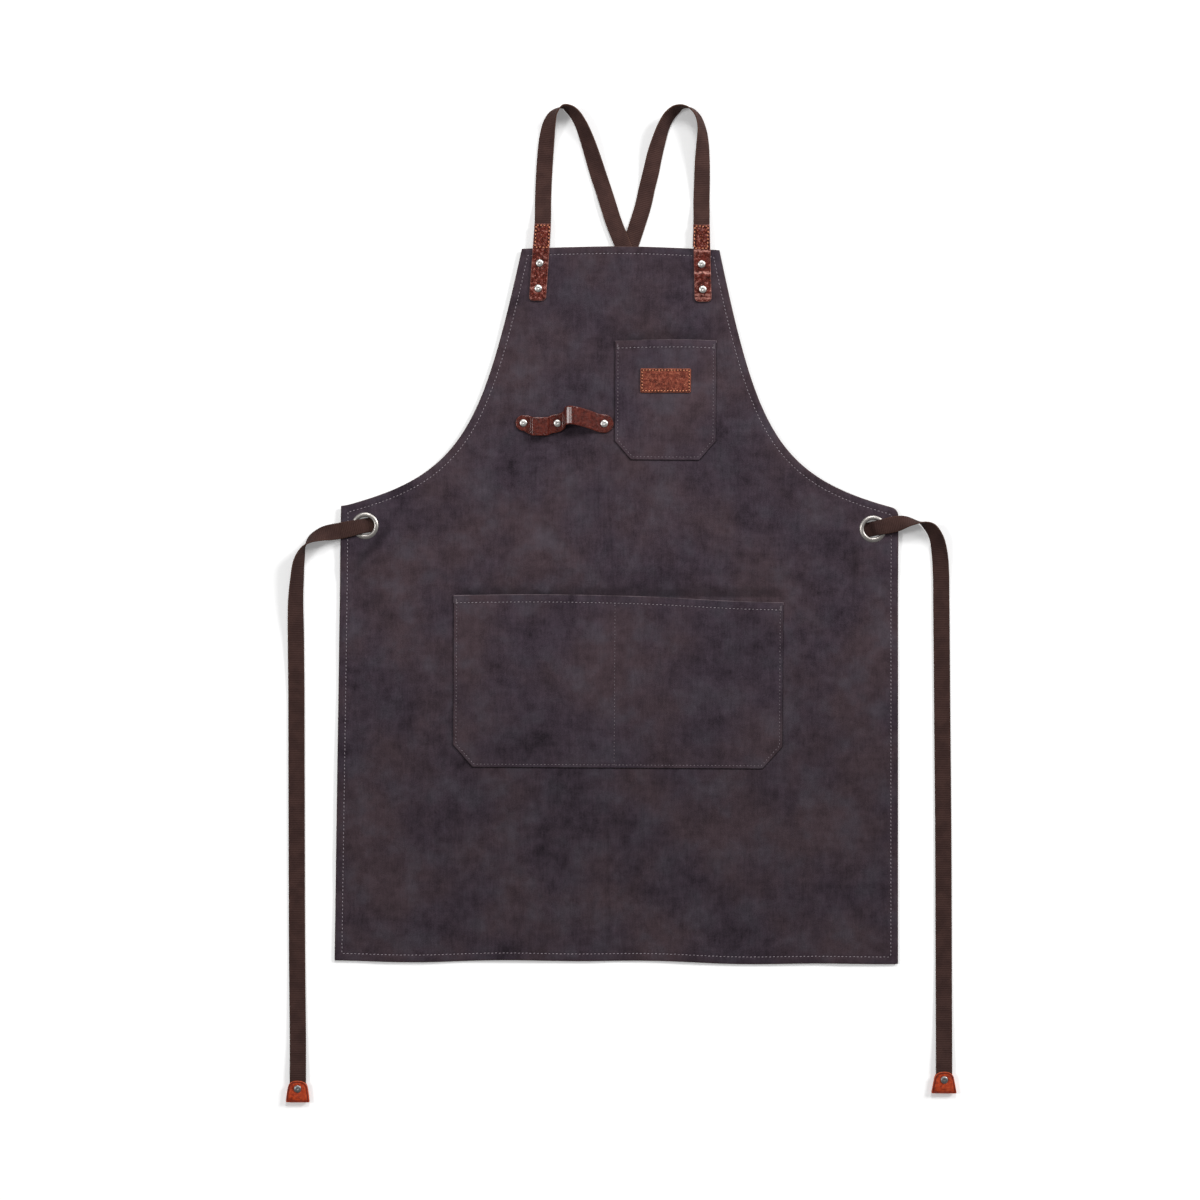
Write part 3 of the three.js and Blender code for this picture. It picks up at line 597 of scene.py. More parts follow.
def stitches(name, lines, surface, finish, pitch=0.0046, length=0.0026, thread=0.0008):
    """Rows of sewn thread. Each line is a row of points that the needle follows."""
    spots = np.array([-0.5, -0.42, -0.2, 0.2, 0.42, 0.5])
    swell = np.array([0.35, 0.82, 1.0, 1.0, 0.82, 0.35])
    rows = len(spots)
    round_yarn = np.arange(YARN_SIDES) * math.tau / YARN_SIDES
    vertices = []
    faces = []
    for line in lines:
        line = np.asarray(line, float)
        reach = np.concatenate([[0], np.cumsum(np.hypot(*np.diff(line, axis=0).T))])
        count = max(1, int(reach[-1] / pitch))
        starts = (np.arange(count) + 0.5) * reach[-1] / count
        for number, middle in enumerate(starts):
            wander = 0.00016 * math.sin(number * 2.4)
            own = length * (1 + 0.10 * math.sin(number * 1.7))
            at = middle + spots * own
            x = np.interp(at, reach, line[:, 0])
            y = np.interp(at, reach, line[:, 1])
            way = np.array([x[-1] - x[0], y[-1] - y[0]])
            way /= max(np.hypot(*way), 1e-9)
            x = x - way[1] * (wander + 0.00025 * spots)
            y = y + way[0] * (wander + 0.00025 * spots)
            z = surface(x, y) + thread * (0.28 - 0.9 * np.abs(spots * 2) ** 3)
            start = len(vertices)
            for i in range(rows):
                for turn in round_yarn:
                    out = thread / 2 * swell[i] * math.cos(turn)
                    rise = thread / 2 * swell[i] * math.sin(turn)
                    vertices.append((x[i] - way[1] * out, y[i] + way[0] * out, z[i] + rise))
            for i in range(rows - 1):
                for j in range(YARN_SIDES):
                    k = (j + 1) % YARN_SIDES
                    a = start + i * YARN_SIDES
                    b = a + YARN_SIDES
                    faces.append((a + j, b + j, b + k, a + k))
            last = start + (rows - 1) * YARN_SIDES
            faces.append(tuple(start + j for j in range(YARN_SIDES)))
            faces.append(tuple(last + j for j in reversed(range(YARN_SIDES))))
    piece = keep(name, np.array(vertices), faces, finish)
    return piece


grey_thread = thread_finish("Grey_thread", paint(172, 160, 168), paint(112, 102, 108))
hem_line = closed(inset_line(PANEL_EDGE, HEM_SEAM, share=0.97))
hem_stitches = stitches("Hem_stitches", [hem_line], lambda x, y: cloth_top(x, y) - 0.0002,
                        grey_thread)
back_stitches = stitches("Hem_stitches_back", [hem_line],
                         lambda x, y: cloth_top(x, y) - CLOTH - HEM_FOLD + 0.0001,
                         grey_thread)
for piece in (hem_stitches, back_stitches):
    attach(piece, "root")


# ---------- chest pocket and wide pocket ----------
# Patches of the same canvas with their lower corners cut off, edges turned in and sewn
# down on three sides. A turned hem and two short bar tacks finish each mouth. The wide
# pocket has a seam down its middle that makes two pockets of it.

POCKET_SEAM = 0.0038
MOUTH_HEM = 0.0092
POCKET_ROOM = 0.0046
ON_CANVAS = 0.0003
SEAM_X = -0.0042


def pocket_outline(node, corner_x, corner_y, wave):
    low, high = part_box(node)
    outline = np.array([
        (low.x, high.y), (low.x, low.y + corner_y), (low.x + corner_x, low.y),
        (high.x - corner_x, low.y), (high.x, low.y + corner_y), (high.x, high.y),
    ])
    outline = spaced(outline, 0.003)
    outline[:, 1] += wave(outline[:, 0]) * eased(outline[:, 1], low.y, high.y)
    return outline


def chest_mouth(x):
    return 0.0009 * np.sin((x - 0.02) / 0.034)


def wide_mouth(x):
    return 0.0014 * np.cos((x + 0.085) / 0.066) - 0.006 * eased(x, 0.02, 0.22)


CHEST_EDGE = pocket_outline("chest_pocket", 0.020, 0.023, chest_mouth)
WIDE_EDGE = pocket_outline("kangaroo_pocket", 0.024, 0.027, wide_mouth)


def pocket_rise(node, mouth, seams, x, y, belly):
    """How far a pocket stands off the canvas: not at its seams, most at its mouth."""
    low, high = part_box(node)
    inside = np.minimum(x - low.x, high.x - x)
    foot = y - low.y
    rise = eased(inside, POCKET_SEAM, 0.030) * eased(foot, POCKET_SEAM, 0.050)
    for seam in seams:
        rise = rise * eased(np.abs(x - seam), 0.0015, 0.028)
    top = high.y + mouth(x)
    open_up = 0.45 + 0.55 * eased(top - y, 0.070, 0.0)
    return POCKET_ROOM * belly * rise * open_up


def chest_face(x, y):
    rise = pocket_rise("chest_pocket", chest_mouth, (), x, y, 0.80)
    crumple = 0.0003 * np.sin(x / 0.011 + 2 * np.sin(y / 0.03)) * eased(rise, 0.0, 0.002)
    return cloth_top(x, y) + ON_CANVAS + CLOTH + rise + crumple


def wide_face(x, y):
    rise = pocket_rise("kangaroo_pocket", wide_mouth, (SEAM_X,), x, y, 0.72)
    gape = 0.0022 * np.exp(-((x - 0.165) / 0.024) ** 2) * eased(y, -0.055, -0.006)
    crumple = 0.0004 * np.sin(x / 0.019 + 2 * np.sin(y / 0.033)) * eased(rise, 0.0, 0.002)
    return cloth_top(x, y) + ON_CANVAS + CLOTH + rise + gape + crumple


# A painted shadow along the pockets' sewn rims.
seam_shadow = paint(28, 22, 25)
chest_canvas = canvas("Chest_pocket_canvas", lighter=1.04, shift=0.37, rim_wear_and_shadow=seam_shadow,
                      wear_and_painted_light=0.85, mouth=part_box("chest_pocket")[1].y - 0.002)
wide_canvas = canvas("Wide_pocket_canvas", lighter=0.98, shift=0.81, rim_wear_and_shadow=seam_shadow,
                     wear_and_painted_light=0.85, mouth=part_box("kangaroo_pocket")[1].y - 0.009)


def pocket(name, node, outline, face, mouth, finish):
    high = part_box(node)[1]

    def heights(x, y, edge):
        down = high.y + mouth(x) - y
        hem = np.exp(-((down - MOUTH_HEM) / 0.0009) ** 2)
        sewn = np.exp(-((edge - POCKET_SEAM) / 0.0010) ** 2) * (down > 0.006)
        band = 0.0005 * (1 - eased(down, MOUTH_HEM - 0.0005, MOUTH_HEM + 0.0010))
        pucker = 0.00013 * np.sin((x + y) / 0.0012) * np.exp(-((edge - 0.0025) / 0.002) ** 2)
        top = face(x, y) + band - 0.0003 * (hem + sewn) + pucker
        under = face(x, y) - CLOTH
        return top, under

    rings = (0.0018, 0.0028, 0.0038, 0.0048, 0.0065, 0.0085, 0.0093, 0.0101, 0.0125)
    piece = slab(name, outline, heights, rings, spacing=0.0036, rim=0.0008, finish=finish)
    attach(piece, "root")
    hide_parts(node)
    return piece


def sewn_down(outline, inset, mouth_y):
    """The seam of a patch pocket: down one side, along the foot and up the other."""
    line = inset_line(outline, inset)
    below = line[line[:, 1] < mouth_y - 0.001]
    start = np.argmin(below[:, 0] - below[:, 1] * 1e-3 - (below[:, 1] > mouth_y - 0.006))
    return np.roll(below, -start, 0)


TACK_HALF = 0.0011
TACK_INSET = 0.0032


def bar_tack(x, y):
    """Close zigzag stitches over the end of a pocket's mouth, as short level bars."""
    rows = np.arange(y, y + 0.006, 0.0009)
    return [[(x - TACK_HALF, row), (x + TACK_HALF, row + 0.0003)] for row in rows]


dim_thread = thread_finish("Dim_thread", paint(138, 126, 133), paint(82, 73, 78))


def pocket_sewing(name, node, outline, face, mouth, extra=()):
    low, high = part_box(node)
    seam = sewn_down(outline, POCKET_SEAM, high.y + float(mouth(low.x)))
    x = np.linspace(low.x + 0.002, high.x - 0.002, 60)
    hem = np.column_stack([x, high.y + mouth(x) - MOUTH_HEM])
    rows = stitches(name, [seam, *extra], lambda x, y: face(x, y) - 0.0002, dim_thread,
                    pitch=0.0043, length=0.0020)
    mouth_row = stitches(name + "_mouth", [hem], lambda x, y: face(x, y) - 0.0001, grey_thread,
                         length=0.0030)
    left_y = high.y + float(mouth(low.x)) - MOUTH_HEM - 0.001
    right_y = high.y + float(mouth(high.x)) - MOUTH_HEM - 0.001
    tacks = bar_tack(low.x + TACK_INSET, left_y) + bar_tack(high.x - TACK_INSET, right_y)
    bars = stitches(name + "_tacks", tacks, lambda x, y: face(x, y) + 0.0003, dim_thread,
                    pitch=0.0022, length=0.0024, thread=0.0007)
    for piece in (rows, mouth_row, bars):
        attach(piece, "root")
    return [rows, mouth_row, bars]


chest = pocket("Chest_pocket", "chest_pocket", CHEST_EDGE, chest_face, chest_mouth, chest_canvas)
chest_sewing = pocket_sewing("Chest_pocket_seams", "chest_pocket", CHEST_EDGE, chest_face,
                             chest_mouth)

wide = pocket("Wide_pocket", "kangaroo_pocket", WIDE_EDGE, wide_face, wide_mouth, wide_canvas)
wide_low, wide_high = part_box("kangaroo_pocket")
divider = [(SEAM_X, wide_high.y + float(wide_mouth(SEAM_X)) - 0.001), (SEAM_X, wide_low.y + 0.002)]
wide_sewing = pocket_sewing("Wide_pocket_seams", "kangaroo_pocket", WIDE_EDGE, wide_face,
                            wide_mouth, [divider])


# ---------- leather patch ----------
# A blank label of pebbled leather with its corners rounded. A single row of thread,
# close to its edge, sews it to the chest pocket.

patch_low, patch_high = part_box("leather_patch")


def rounded(low_x, high_x, low_y, high_y, corner, spacing=0.0015):
    """A rectangle with rounded corners, its points evenly spaced."""
    turn = np.linspace(0, math.pi / 2, 6)
    arcs = []
    places = [(high_x, high_y, 0), (low_x, high_y, 1), (low_x, low_y, 2), (high_x, low_y, 3)]
    for x, y, quarter in places:
        centre_x = x - corner * (1 if x == high_x else -1)
        centre_y = y - corner * (1 if y == high_y else -1)
        angle = turn + quarter * math.pi / 2
        arcs.append(np.stack([centre_x + corner * np.cos(angle),
                              centre_y + corner * np.sin(angle)], 1))
    return spaced(np.concatenate(arcs), spacing)


# Below the whole apron, for a seam that runs all the way round.
WHOLE_WAY = -1.0


def leather(name, colour, deep, wear_and_painted_light, pebble, depth, polish, gloss, mottle, seam=None,
            bend_highlights=()):
    """Vegetable-tanned leather, drum-dyed, with its grain up and its cut edges paler. It is
    darker along a seam, given as its distance from the edge and the height on the apron
    where it stops. It has painted highlights across bends, given as height and strength,
    and painted sheen on some pebble tops."""
    finish = Finish(name, Specular_IOR_Level=0.20, Coat_Weight=polish, Coat_Roughness=0.18)
    wander = finish.noise(finish.place(), pebble * 0.5, 2.0)
    bent = finish.lit(finish.node("CombineXYZ", None, {0: wander, 1: wander, 2: wander}), 0.0016)
    spot = finish.node("VectorMath", {"operation": "ADD"}, {0: finish.place(), 1: bent})
    cells = finish.node("TexVoronoi", {"feature": "DISTANCE_TO_EDGE"},
                        {"Vector": spot, "Scale": pebble, "Randomness": 1.0})
    fine = finish.noise(finish.place(), pebble * 4, 3.0, 0.6)
    broad = finish.noise(finish.place(), 75.0, 4.0, 0.6)
    streak = finish.noise(finish.place(), 260.0, 3.0, 0.6)
    pebbles = cells.between(0.0, 0.22)
    edge = finish.parts("Edge")[0]
    rim = 1 - edge.between(0.0, 0.0009)
    up_apron = finish.split(finish.place())[1]
    hue = finish.mixed((1 - pebbles) * (900 * depth) + (0.5 - broad) * 1.0, colour, deep)
    hue = finish.mixed((0.48 - streak) * mottle * 4, hue, deep)
    # Painted sheen: pale specks on some pebble tops.
    hue = finish.mixed(pebbles * streak.between(0.50, 0.66) * mottle * 0.5, hue, wear_and_painted_light)
    hue = finish.mixed(rim * 0.45, hue, wear_and_painted_light)
    # Painted highlights: pale bands across the bends where the creases catch the light.
    for height, strength in bend_highlights:
        band = 1 - (up_apron - height).size().between(0.0004, 0.0024)
        hue = finish.mixed(band * streak.between(0.36, 0.56) * strength, hue, wear_and_painted_light)
    if seam:
        line = 1 - (edge - seam[0]).size().between(0.0004, 0.0012)
        line = line * up_apron.between(seam[1] - 0.001, seam[1])
        hue = finish.mixed(line * 0.9, hue, deep)
    finish.coloured(finish.lit(hue, 0.73 + broad * 0.27 + (streak - 0.5) * mottle * 0.9 + 0.13))
    finish.rough(gloss + (streak - 0.5) * 0.35 + (1 - pebbles) * 0.12)
    finish.raised(pebbles + fine * 0.25 + streak * 0.8, depth, 0.9)
    return finish


PATCH_SEAM = 0.0021
PATCH_DROP = 0.0014
ON_POCKET = 0.0002
patch_leather = leather("Patch_leather", paint(146, 71, 54), paint(50, 20, 15),
                        paint(204, 130, 100), pebble=760.0, depth=0.0005, polish=0.02,
                        gloss=0.46, mottle=0.95, seam=(PATCH_SEAM, WHOLE_WAY))
PATCH_EDGE = rounded(patch_low.x, patch_high.x, patch_low.y - PATCH_DROP,
                     patch_high.y - PATCH_DROP, 0.0016)


def patch_face(x, y):
    return chest_face(x, y) + ON_POCKET + (patch_high.z - patch_low.z)


def patch_heights(x, y, edge):
    groove = np.exp(-((edge - PATCH_SEAM) / 0.0006) ** 2)
    top = patch_face(x, y) - 0.00028 * groove
    return top, chest_face(x, y) + ON_POCKET


patch = slab("Leather_patch", PATCH_EDGE, patch_heights, (0.0013, 0.0021, 0.0029, 0.004),
             spacing=0.0025, rim=0.0006, finish=patch_leather)
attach(patch, "root")
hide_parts("leather_patch")
rust_thread = thread_finish("Rust_thread", paint(246, 172, 134), paint(222, 132, 92))
patch_line = closed(inset_line(PATCH_EDGE, PATCH_SEAM))
patch_stitches = stitches("Patch_stitches", [patch_line],
                          lambda x, y: patch_face(x, y) + 0.0002, rust_thread,
                          pitch=0.0037, length=0.0022, thread=0.0010)
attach(patch_stitches, "root")


# ---------- rivets ----------
# Two-part nickel rivets. The domed cap has a small dimple from the setting tool, and
# the flat back is pressed on behind. They hold the strap tabs, the tool loop and the
# leather tips.

def nickel(name, dull, bright):
    """Satin nickel plate, brushed by handling."""
    finish = Finish(name, Metallic=1.0)
    scuff = finish.noise(finish.place(), 900.0, 3.0, 0.6)
    haze = finish.noise(finish.place(), 160.0, 2.0)
    finish.coloured(finish.mixed(haze, dull, bright))
    finish.rough(0.30 + scuff * 0.20)
    finish.raised(scuff, 0.00006, 0.5)
    return finish


rivet_nickel = nickel("Rivet_nickel", paint(198, 196, 192), paint(224, 222, 218))


def skin(rings, ends=True):
    """Faces over a row of rings, with both ends closed or left open."""
    rows, size = rings.shape[:2]
    faces = []
    for i in range(rows - 1):
        for j in range(size):
            k = (j + 1) % size
            faces.append((i * size + j, i * size + k, (i + 1) * size + k, (i + 1) * size + j))
    if ends:
        faces.append(tuple(reversed(range(size))))
        faces.append(tuple((rows - 1) * size + j for j in range(size)))
    return faces


def turned(name, profile, finish, centre, sides=40):
    """A piece turned on a lathe, from rows of radius and height. A profile that ends where
    it starts makes a ring with a hole."""
    turn = np.arange(sides) * math.tau / sides
    rings = []
    for radius, height in profile:
        x = centre[0] + radius * np.cos(turn)
        y = centre[1] + radius * np.sin(turn)
        rings.append(np.column_stack([x, y, np.full(sides, centre[2] + height)]))
    rings = np.array(rings)
    faces = skin(rings, ends=profile[0] != profile[-1])
    piece = keep(name, rings.reshape(-1, 3), faces, finish)
    return piece


CAP = [(0.0002, -0.0016), (0.0014, -0.0015), (0.0016, -0.0002), (0.0040, -0.0002), (0.0044, 0.0),
       (0.00452, 0.0003), (0.00440, 0.00062), (0.0040, 0.00092), (0.0033, 0.00122),
       (0.0025, 0.00142), (0.0018, 0.00150), (0.0013, 0.00150), (0.0010, 0.00142),
       (0.0007, 0.00130), (0.0002, 0.00126)]
BACK = [(0.0002, 0.0), (0.0032, 0.0), (0.0039, 0.00012), (0.0042, 0.0004), (0.0042, 0.0008),
        (0.0039, 0.0010), (0.0018, 0.0010), (0.0015, 0.0008), (0.0002, 0.0007)]


def rivet(node, face, behind, body, finish):
    """A cap whose rim lies on a face, and its back under the sheet."""
    x, y = middle_of(node)
    cap = turned(node + "_cap", CAP, finish, (x, y, float(face(x, y))))
    back = turned(node + "_disc", BACK, finish, (x, y, float(behind(x, y)) - 0.0010))
    for piece, stands_for in ((cap, node), (back, node + "_back")):
        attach(piece, body)
        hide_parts(stands_for)
    return cap, back


def under_cloth(x, y):
    return cloth_top(x, y) - CLOTH - 0.0002


RIVET_DENT = 0.00035


def pressed(x, y, spot, depth):
    """How far the leather is pressed down round a rivet."""
    return depth * (1 - eased(np.hypot(x - spot[0], y - spot[1]), 0.0045, 0.0075))


# ---------- tool loop ----------
# A strap of brown leather riveted to the bib in three places. It stands up in a low
# loop between the first two rivets, and in a tall one between the last two.

LOOP_HALF = 0.011
LOOP_NOSE = 0.0093
LEATHER = 0.0022
UNDER_LOOP = 0.0002
loop_rivets = []
for place in ("left", "middle", "right"):
    rivet_x, LOOP_Y = middle_of("loop_rivet_" + place)
    loop_rivets.append(rivet_x)
# The strap's line: place across, height off the bib and lean towards the bib's top.
LOOP_LINE = [
    (loop_rivets[0], 0, 0), (-0.1145, 0.0, -0.0006), (-0.1110, 0.0, -0.0016),
    (-0.1076, 0.0003, -0.0030), (-0.1064, 0.0016, -0.0036), (-0.1055, 0.0050, -0.0041),
    (-0.1040, 0.0059, -0.0043), (-0.0958, 0.0061, -0.0044), (-0.0896, 0.0057, -0.0042),
    (-0.0870, 0.0045, -0.0038), (-0.0858, 0.0012, -0.0032), (-0.0844, 0.0002, -0.0024),
    (-0.0810, 0.0, -0.0010), (loop_rivets[1], 0, 0), (-0.0700, 0.0, 0.0020),
    (-0.0672, 0.0012, 0.0044), (-0.0661, 0.0058, 0.0066), (-0.0654, 0.0100, 0.0079),
    (-0.0643, 0.0126, 0.0086), (-0.0620, 0.0139, 0.0091), (-0.0592, 0.0150, 0.0092),
    (-0.0566, 0.0159, 0.0090), (-0.0538, 0.0162, 0.0085), (-0.0505, 0.0150, 0.0079),
    (-0.0450, 0.0112, 0.0067), (-0.0380, 0.0070, 0.0049), (-0.0310, 0.0027, 0.0027),
    (-0.0275, 0.0008, 0.0014), (-0.0240, 0.0, 0.0005), (loop_rivets[2], 0, 0),
]


def through(points, per_span):
    """A smooth line through a row of points, whatever their number of columns."""
    points = np.array(points, float)
    ends = (2 * points[0] - points[1], 2 * points[-1] - points[-2])
    padded = np.vstack([ends[0], points, ends[1]])
    t = np.linspace(0, 1, per_span, endpoint=False)[:, None]
    made = []
    for a, b, c, d in zip(padded, padded[1:], padded[2:], padded[3:]):
        slope_b = (c - a) / 2
        slope_c = (d - b) / 2
        made.append(b * (2 * t ** 3 - 3 * t ** 2 + 1) + slope_b * (t ** 3 - 2 * t ** 2 + t)
                    + c * (3 * t ** 2 - 2 * t ** 3) + slope_c * (t ** 3 - t ** 2))
    made.append(points[-1:])
    return np.vstack(made)


def strap_rings(centres, sides, ups, halves, thick, edge=0.00045):
    """The rings of a flat strap, and the distance of each point from the strap's edge."""
    rings = []
    gaps = []
    across = np.array([1.0, 0.97, 0.86, 0.6, 0.3, 0, -0.3, -0.6, -0.86, -0.97, -1.0])
    for centre, side, up, half in zip(centres, sides, ups, halves):
        ring = []
        gap = []
        for face in (1, -1):
            for share in across * face:
                drop = edge if abs(share) == 1 else 0
                out = share * half
                ring.append(centre + side * out + up * face * (thick / 2 - drop))
                gap.append(half - abs(out))
        rings.append(ring)
        gaps.append(gap)
    return np.array(rings), np.array(gaps)


brown_leather = leather("Brown_leather", paint(86, 27, 17), paint(34, 10, 7),
                        paint(132, 66, 50), pebble=900.0, depth=0.00016, polish=0.42,
                        gloss=0.27, mottle=0.8)


def tool_loop():
    line = through(LOOP_LINE, 5)
    heads = [np.array([[loop_rivets[0] - LOOP_NOSE * math.cos(t), 0, 0]])
             for t in np.linspace(0.06, math.pi / 2, 14, endpoint=False)]
    tails = [np.array([[loop_rivets[2] + LOOP_HALF * math.sin(t), 0, 0]])
             for t in np.linspace(math.pi / 2 / 14, math.pi / 2 - 0.06, 14)]
    line = np.vstack(heads + [line] + tails)
    x, height, lean = line.T
    ground = cloth_top(x, np.full(len(x), LOOP_Y)) + UNDER_LOOP + LEATHER / 2
    centres = np.column_stack([x, LOOP_Y + lean, ground + np.maximum(height, 0)])
    along = np.gradient(centres, axis=0)
    ups = np.column_stack([-along[:, 2], np.zeros(len(x)), along[:, 0]])
    ups /= np.linalg.norm(ups, axis=1)[:, None]
    sides = np.tile([0.0, 1.0, 0.0], (len(x), 1))
    reach = np.maximum(loop_rivets[0] - x, x - loop_rivets[2])
    radius = LOOP_NOSE + (LOOP_HALF - LOOP_NOSE) * eased(x, loop_rivets[0], loop_rivets[0] + 0.007)
    halves = np.sqrt(np.maximum(radius ** 2 - np.maximum(reach, 0) ** 2, 1e-7))
    tips = eased(reach, radius - 0.0008, radius)
    rings, gaps = strap_rings(centres, sides, ups, halves, LEATHER)
    rings[:, :, 2] = centres[:, 2:3] + (rings[:, :, 2] - centres[:, 2:3]) * (1 - 0.6 * tips[:, None])
    on_face = np.arange(rings.shape[1]) < rings.shape[1] // 2
    for spot in loop_rivets:
        dent = pressed(rings[:, :, 0], rings[:, :, 1], (spot, LOOP_Y), RIVET_DENT)
        rings[:, :, 2] -= dent * on_face
    gaps = np.minimum(gaps, np.maximum(radius - reach, 0)[:, None])
    maps = {"Edge": np.column_stack([gaps.ravel(), np.ones(gaps.size)])}
    return keep("Tool_loop", rings.reshape(-1, 3), skin(rings), brown_leather, maps)


loop = tool_loop()
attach(loop, "root")
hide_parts("tool_loop")
for place in ("left", "middle", "right"):
    rivet("loop_rivet_" + place, lambda x, y: cloth_top(x, y) + UNDER_LOOP + LEATHER, under_cloth,
          "root", rivet_nickel)


# ---------- strap tabs ----------
# Two tabs of pebbled leather that join the shoulder webbing to the bib, with two rivets
# each. The part over the webbing is sewn down with a box and a cross.

TAB_HALF = 0.01025
TAB_LENGTH = 0.093
TAB_SEAM = 0.0021
TAB_BOX = 0.0285
TAB_CORNER = 0.005
# Bends across a tab: distance from its top, share of the crease's height, and width.
TAB_CREASES = [(0.0612, 1.0, 0.0024), (0.0662, -0.5, 0.0028),
               (0.0338, 0.8, 0.0020), (0.0385, -0.7, 0.0028)]
tab_top_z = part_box("left_strap_tab")[1].z
brown_thread = thread_finish("Brown_thread", paint(170, 92, 66), paint(120, 58, 42))


def strap_tab(label, bend_x, lean_over, lean_below, crease, bend_highlights):
    """The leans are how far the tab's middle moves across for each metre down, over the
    webbing and then below the bib's edge. Painted bend highlights are height and strength."""
    top_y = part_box(label + "_strap_tab")[1].y - 0.0005
    rivets = [middle_of(f"{label}_tab_rivet_{place}") for place in ("upper", "lower")]

    def placed(points):
        """From the tab's own across and along to the apron's frame."""
        across, along = np.asarray(points, float).T
        down = BIB_TOP - top_y - along
        below = (down + np.sqrt(down ** 2 + 0.006 ** 2)) / 2
        middle = bend_x + lean_over * down + (lean_below - lean_over) * below
        narrow = 1 - 0.02 * (1 - eased(down, -0.032, 0.0))
        return np.column_stack([middle + across * narrow, top_y + along])

    def face(x, y):
        run = top_y - y
        on_bib = cloth_top(x, np.minimum(y, BIB_TOP - 0.002)) + 0.0003 + LEATHER
        fold = eased(y, BIB_TOP - 0.004, BIB_TOP + 0.004)
        level = on_bib * (1 - fold) + (tab_top_z - 0.0004) * fold
        for middle, share, width in TAB_CREASES:
            level = level + share * crease * np.exp(-((run - middle) / width) ** 2)
        return level + 0.0002 * np.sin(x / 0.0034 + y / 0.0047)

    def heights(x, y, edge):
        top = face(x, y) - 0.0002 * np.exp(-((edge - TAB_SEAM) / 0.0006) ** 2)
        for spot in rivets:
            top = top - pressed(x, y, spot, RIVET_DENT)
        return top, face(x, y) - LEATHER

    tab_leather = leather(label.capitalize() + "_tab_leather", paint(122, 46, 34),
                          paint(40, 13, 10), paint(214, 152, 140), pebble=640.0,
                          depth=0.0008, polish=0.06, gloss=0.34, mottle=1.1,
                          seam=(TAB_SEAM, top_y - TAB_BOX), bend_highlights=bend_highlights)
    flank = TAB_HALF - TAB_CORNER
    foot = TAB_CORNER - TAB_LENGTH
    quarter = np.linspace(0, math.pi / 2, 8)
    own = [(-TAB_HALF, 0), (-TAB_HALF, foot)]
    own += [(-flank - TAB_CORNER * math.cos(t), foot - TAB_CORNER * math.sin(t)) for t in quarter]
    own += [(flank + TAB_CORNER * math.sin(t), foot - TAB_CORNER * math.cos(t)) for t in quarter]
    own += [(TAB_HALF, foot), (TAB_HALF, 0)]
    own = [p for i, p in enumerate(own) if i == 0 or math.dist(p, own[i - 1]) > 1e-5]
    outline = spaced(placed(own), 0.0016)
    piece = slab(label.capitalize() + "_strap_tab", outline, heights,
                 (0.0014, 0.0021, 0.0030, 0.0042), spacing=0.0024, rim=0.0008,
                 finish=tab_leather)
    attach(piece, "root")
    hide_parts(label + "_strap_tab")

    half = TAB_HALF - TAB_SEAM
    box_top = -TAB_SEAM
    box_foot = -TAB_BOX
    box = [(-half, box_top), (half, box_top), (half, box_foot), (-half, box_foot),
           (-half, box_top)]
    cross = [[(-half, box_top), (half, box_foot)], [(half, box_top), (-half, box_foot)]]
    sides_sewn = [[a, b] for a, b in zip(box, box[1:])]
    for word, lines, yarn in (("box", sides_sewn, rust_thread), ("cross", cross, brown_thread)):
        sewing = stitches(f"{label.capitalize()}_tab_{word}", [placed(line) for line in lines],
                          lambda x, y: face(x, y) + 0.0002, yarn, pitch=0.0038,
                          length=0.0023, thread=0.0011)
        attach(sewing, "root")
    for place in ("upper", "lower"):
        rivet(f"{label}_tab_rivet_{place}", face, under_cloth, "root", rivet_nickel)


strap_tab("left", bend_x=-0.0955, lean_over=-0.041, lean_below=-0.078, crease=0.0004,
          bend_highlights=[(0.3985, 0.25), (0.3690, 0.35)])
strap_tab("right", bend_x=0.0968, lean_over=-0.021, lean_below=0.052, crease=0.0012,
          bend_highlights=[(0.4143, 0.8), (0.3881, 0.9), (0.3610, 0.4), (0.3570, 0.5)])


# ---------- grommets ----------
# Pressed nickel eyelets at the waist's corners, a rolled ring in front and a washer
# behind. The waist ties come out through them.

ring_nickel = nickel("Ring_nickel", paint(166, 161, 156), paint(194, 189, 184))
RING = [(0.01075, 0.0), (0.01075, 0.0022), (0.01085, 0.0031), (0.01120, 0.0038),
        (0.01190, 0.00430), (0.01290, 0.00452), (0.01400, 0.00448), (0.01500, 0.00415),
        (0.01580, 0.00365), (0.01630, 0.0032), (0.01650, 0.00292), (0.01640, 0.0028),
        (0.01480, 0.00275), (0.01190, 0.00275), (0.01190, 0.0), (0.01075, 0.0)]
WASHER = [(0.0122, 0.0), (0.0128, -0.0001), (0.0148, -0.0001), (0.0154, 0.0001),
          (0.0155, 0.0004), (0.0153, 0.0007), (0.0147, 0.0008), (0.0122, 0.0008), (0.0122, 0.0)]
for label, side in (("left", -1), ("right", 1)):
    washer_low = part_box(label + "_grommet_washer")[0]
    ring_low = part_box(label + "_grommet")[0]
    ring = turned(label.capitalize() + "_ring", RING, ring_nickel,
                  (side * GROMMET_X, GROMMET_Y, ring_low.z), sides=96)
    washer = turned(label.capitalize() + "_washer", WASHER, ring_nickel,
                    (side * GROMMET_X, GROMMET_Y, washer_low.z), sides=72)
    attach(ring, "root")
    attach(washer, "root")
    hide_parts(label + "_grommet")
    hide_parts(label + "_grommet_washer")


# ---------- webbing ----------
# Flat ribbed cotton webbing, 20 mm wide. Each length starts under a strap tab, loops
# over the shoulder, crosses the other behind the bib, and comes out through the far
# grommet as a waist tie. It twists over as it turns.

WEB_WIDTH = 0.020
WEB_THICK = 0.0016
RIB = 0.0022
SEWN = 0.0042
ON_RING = 0.0082
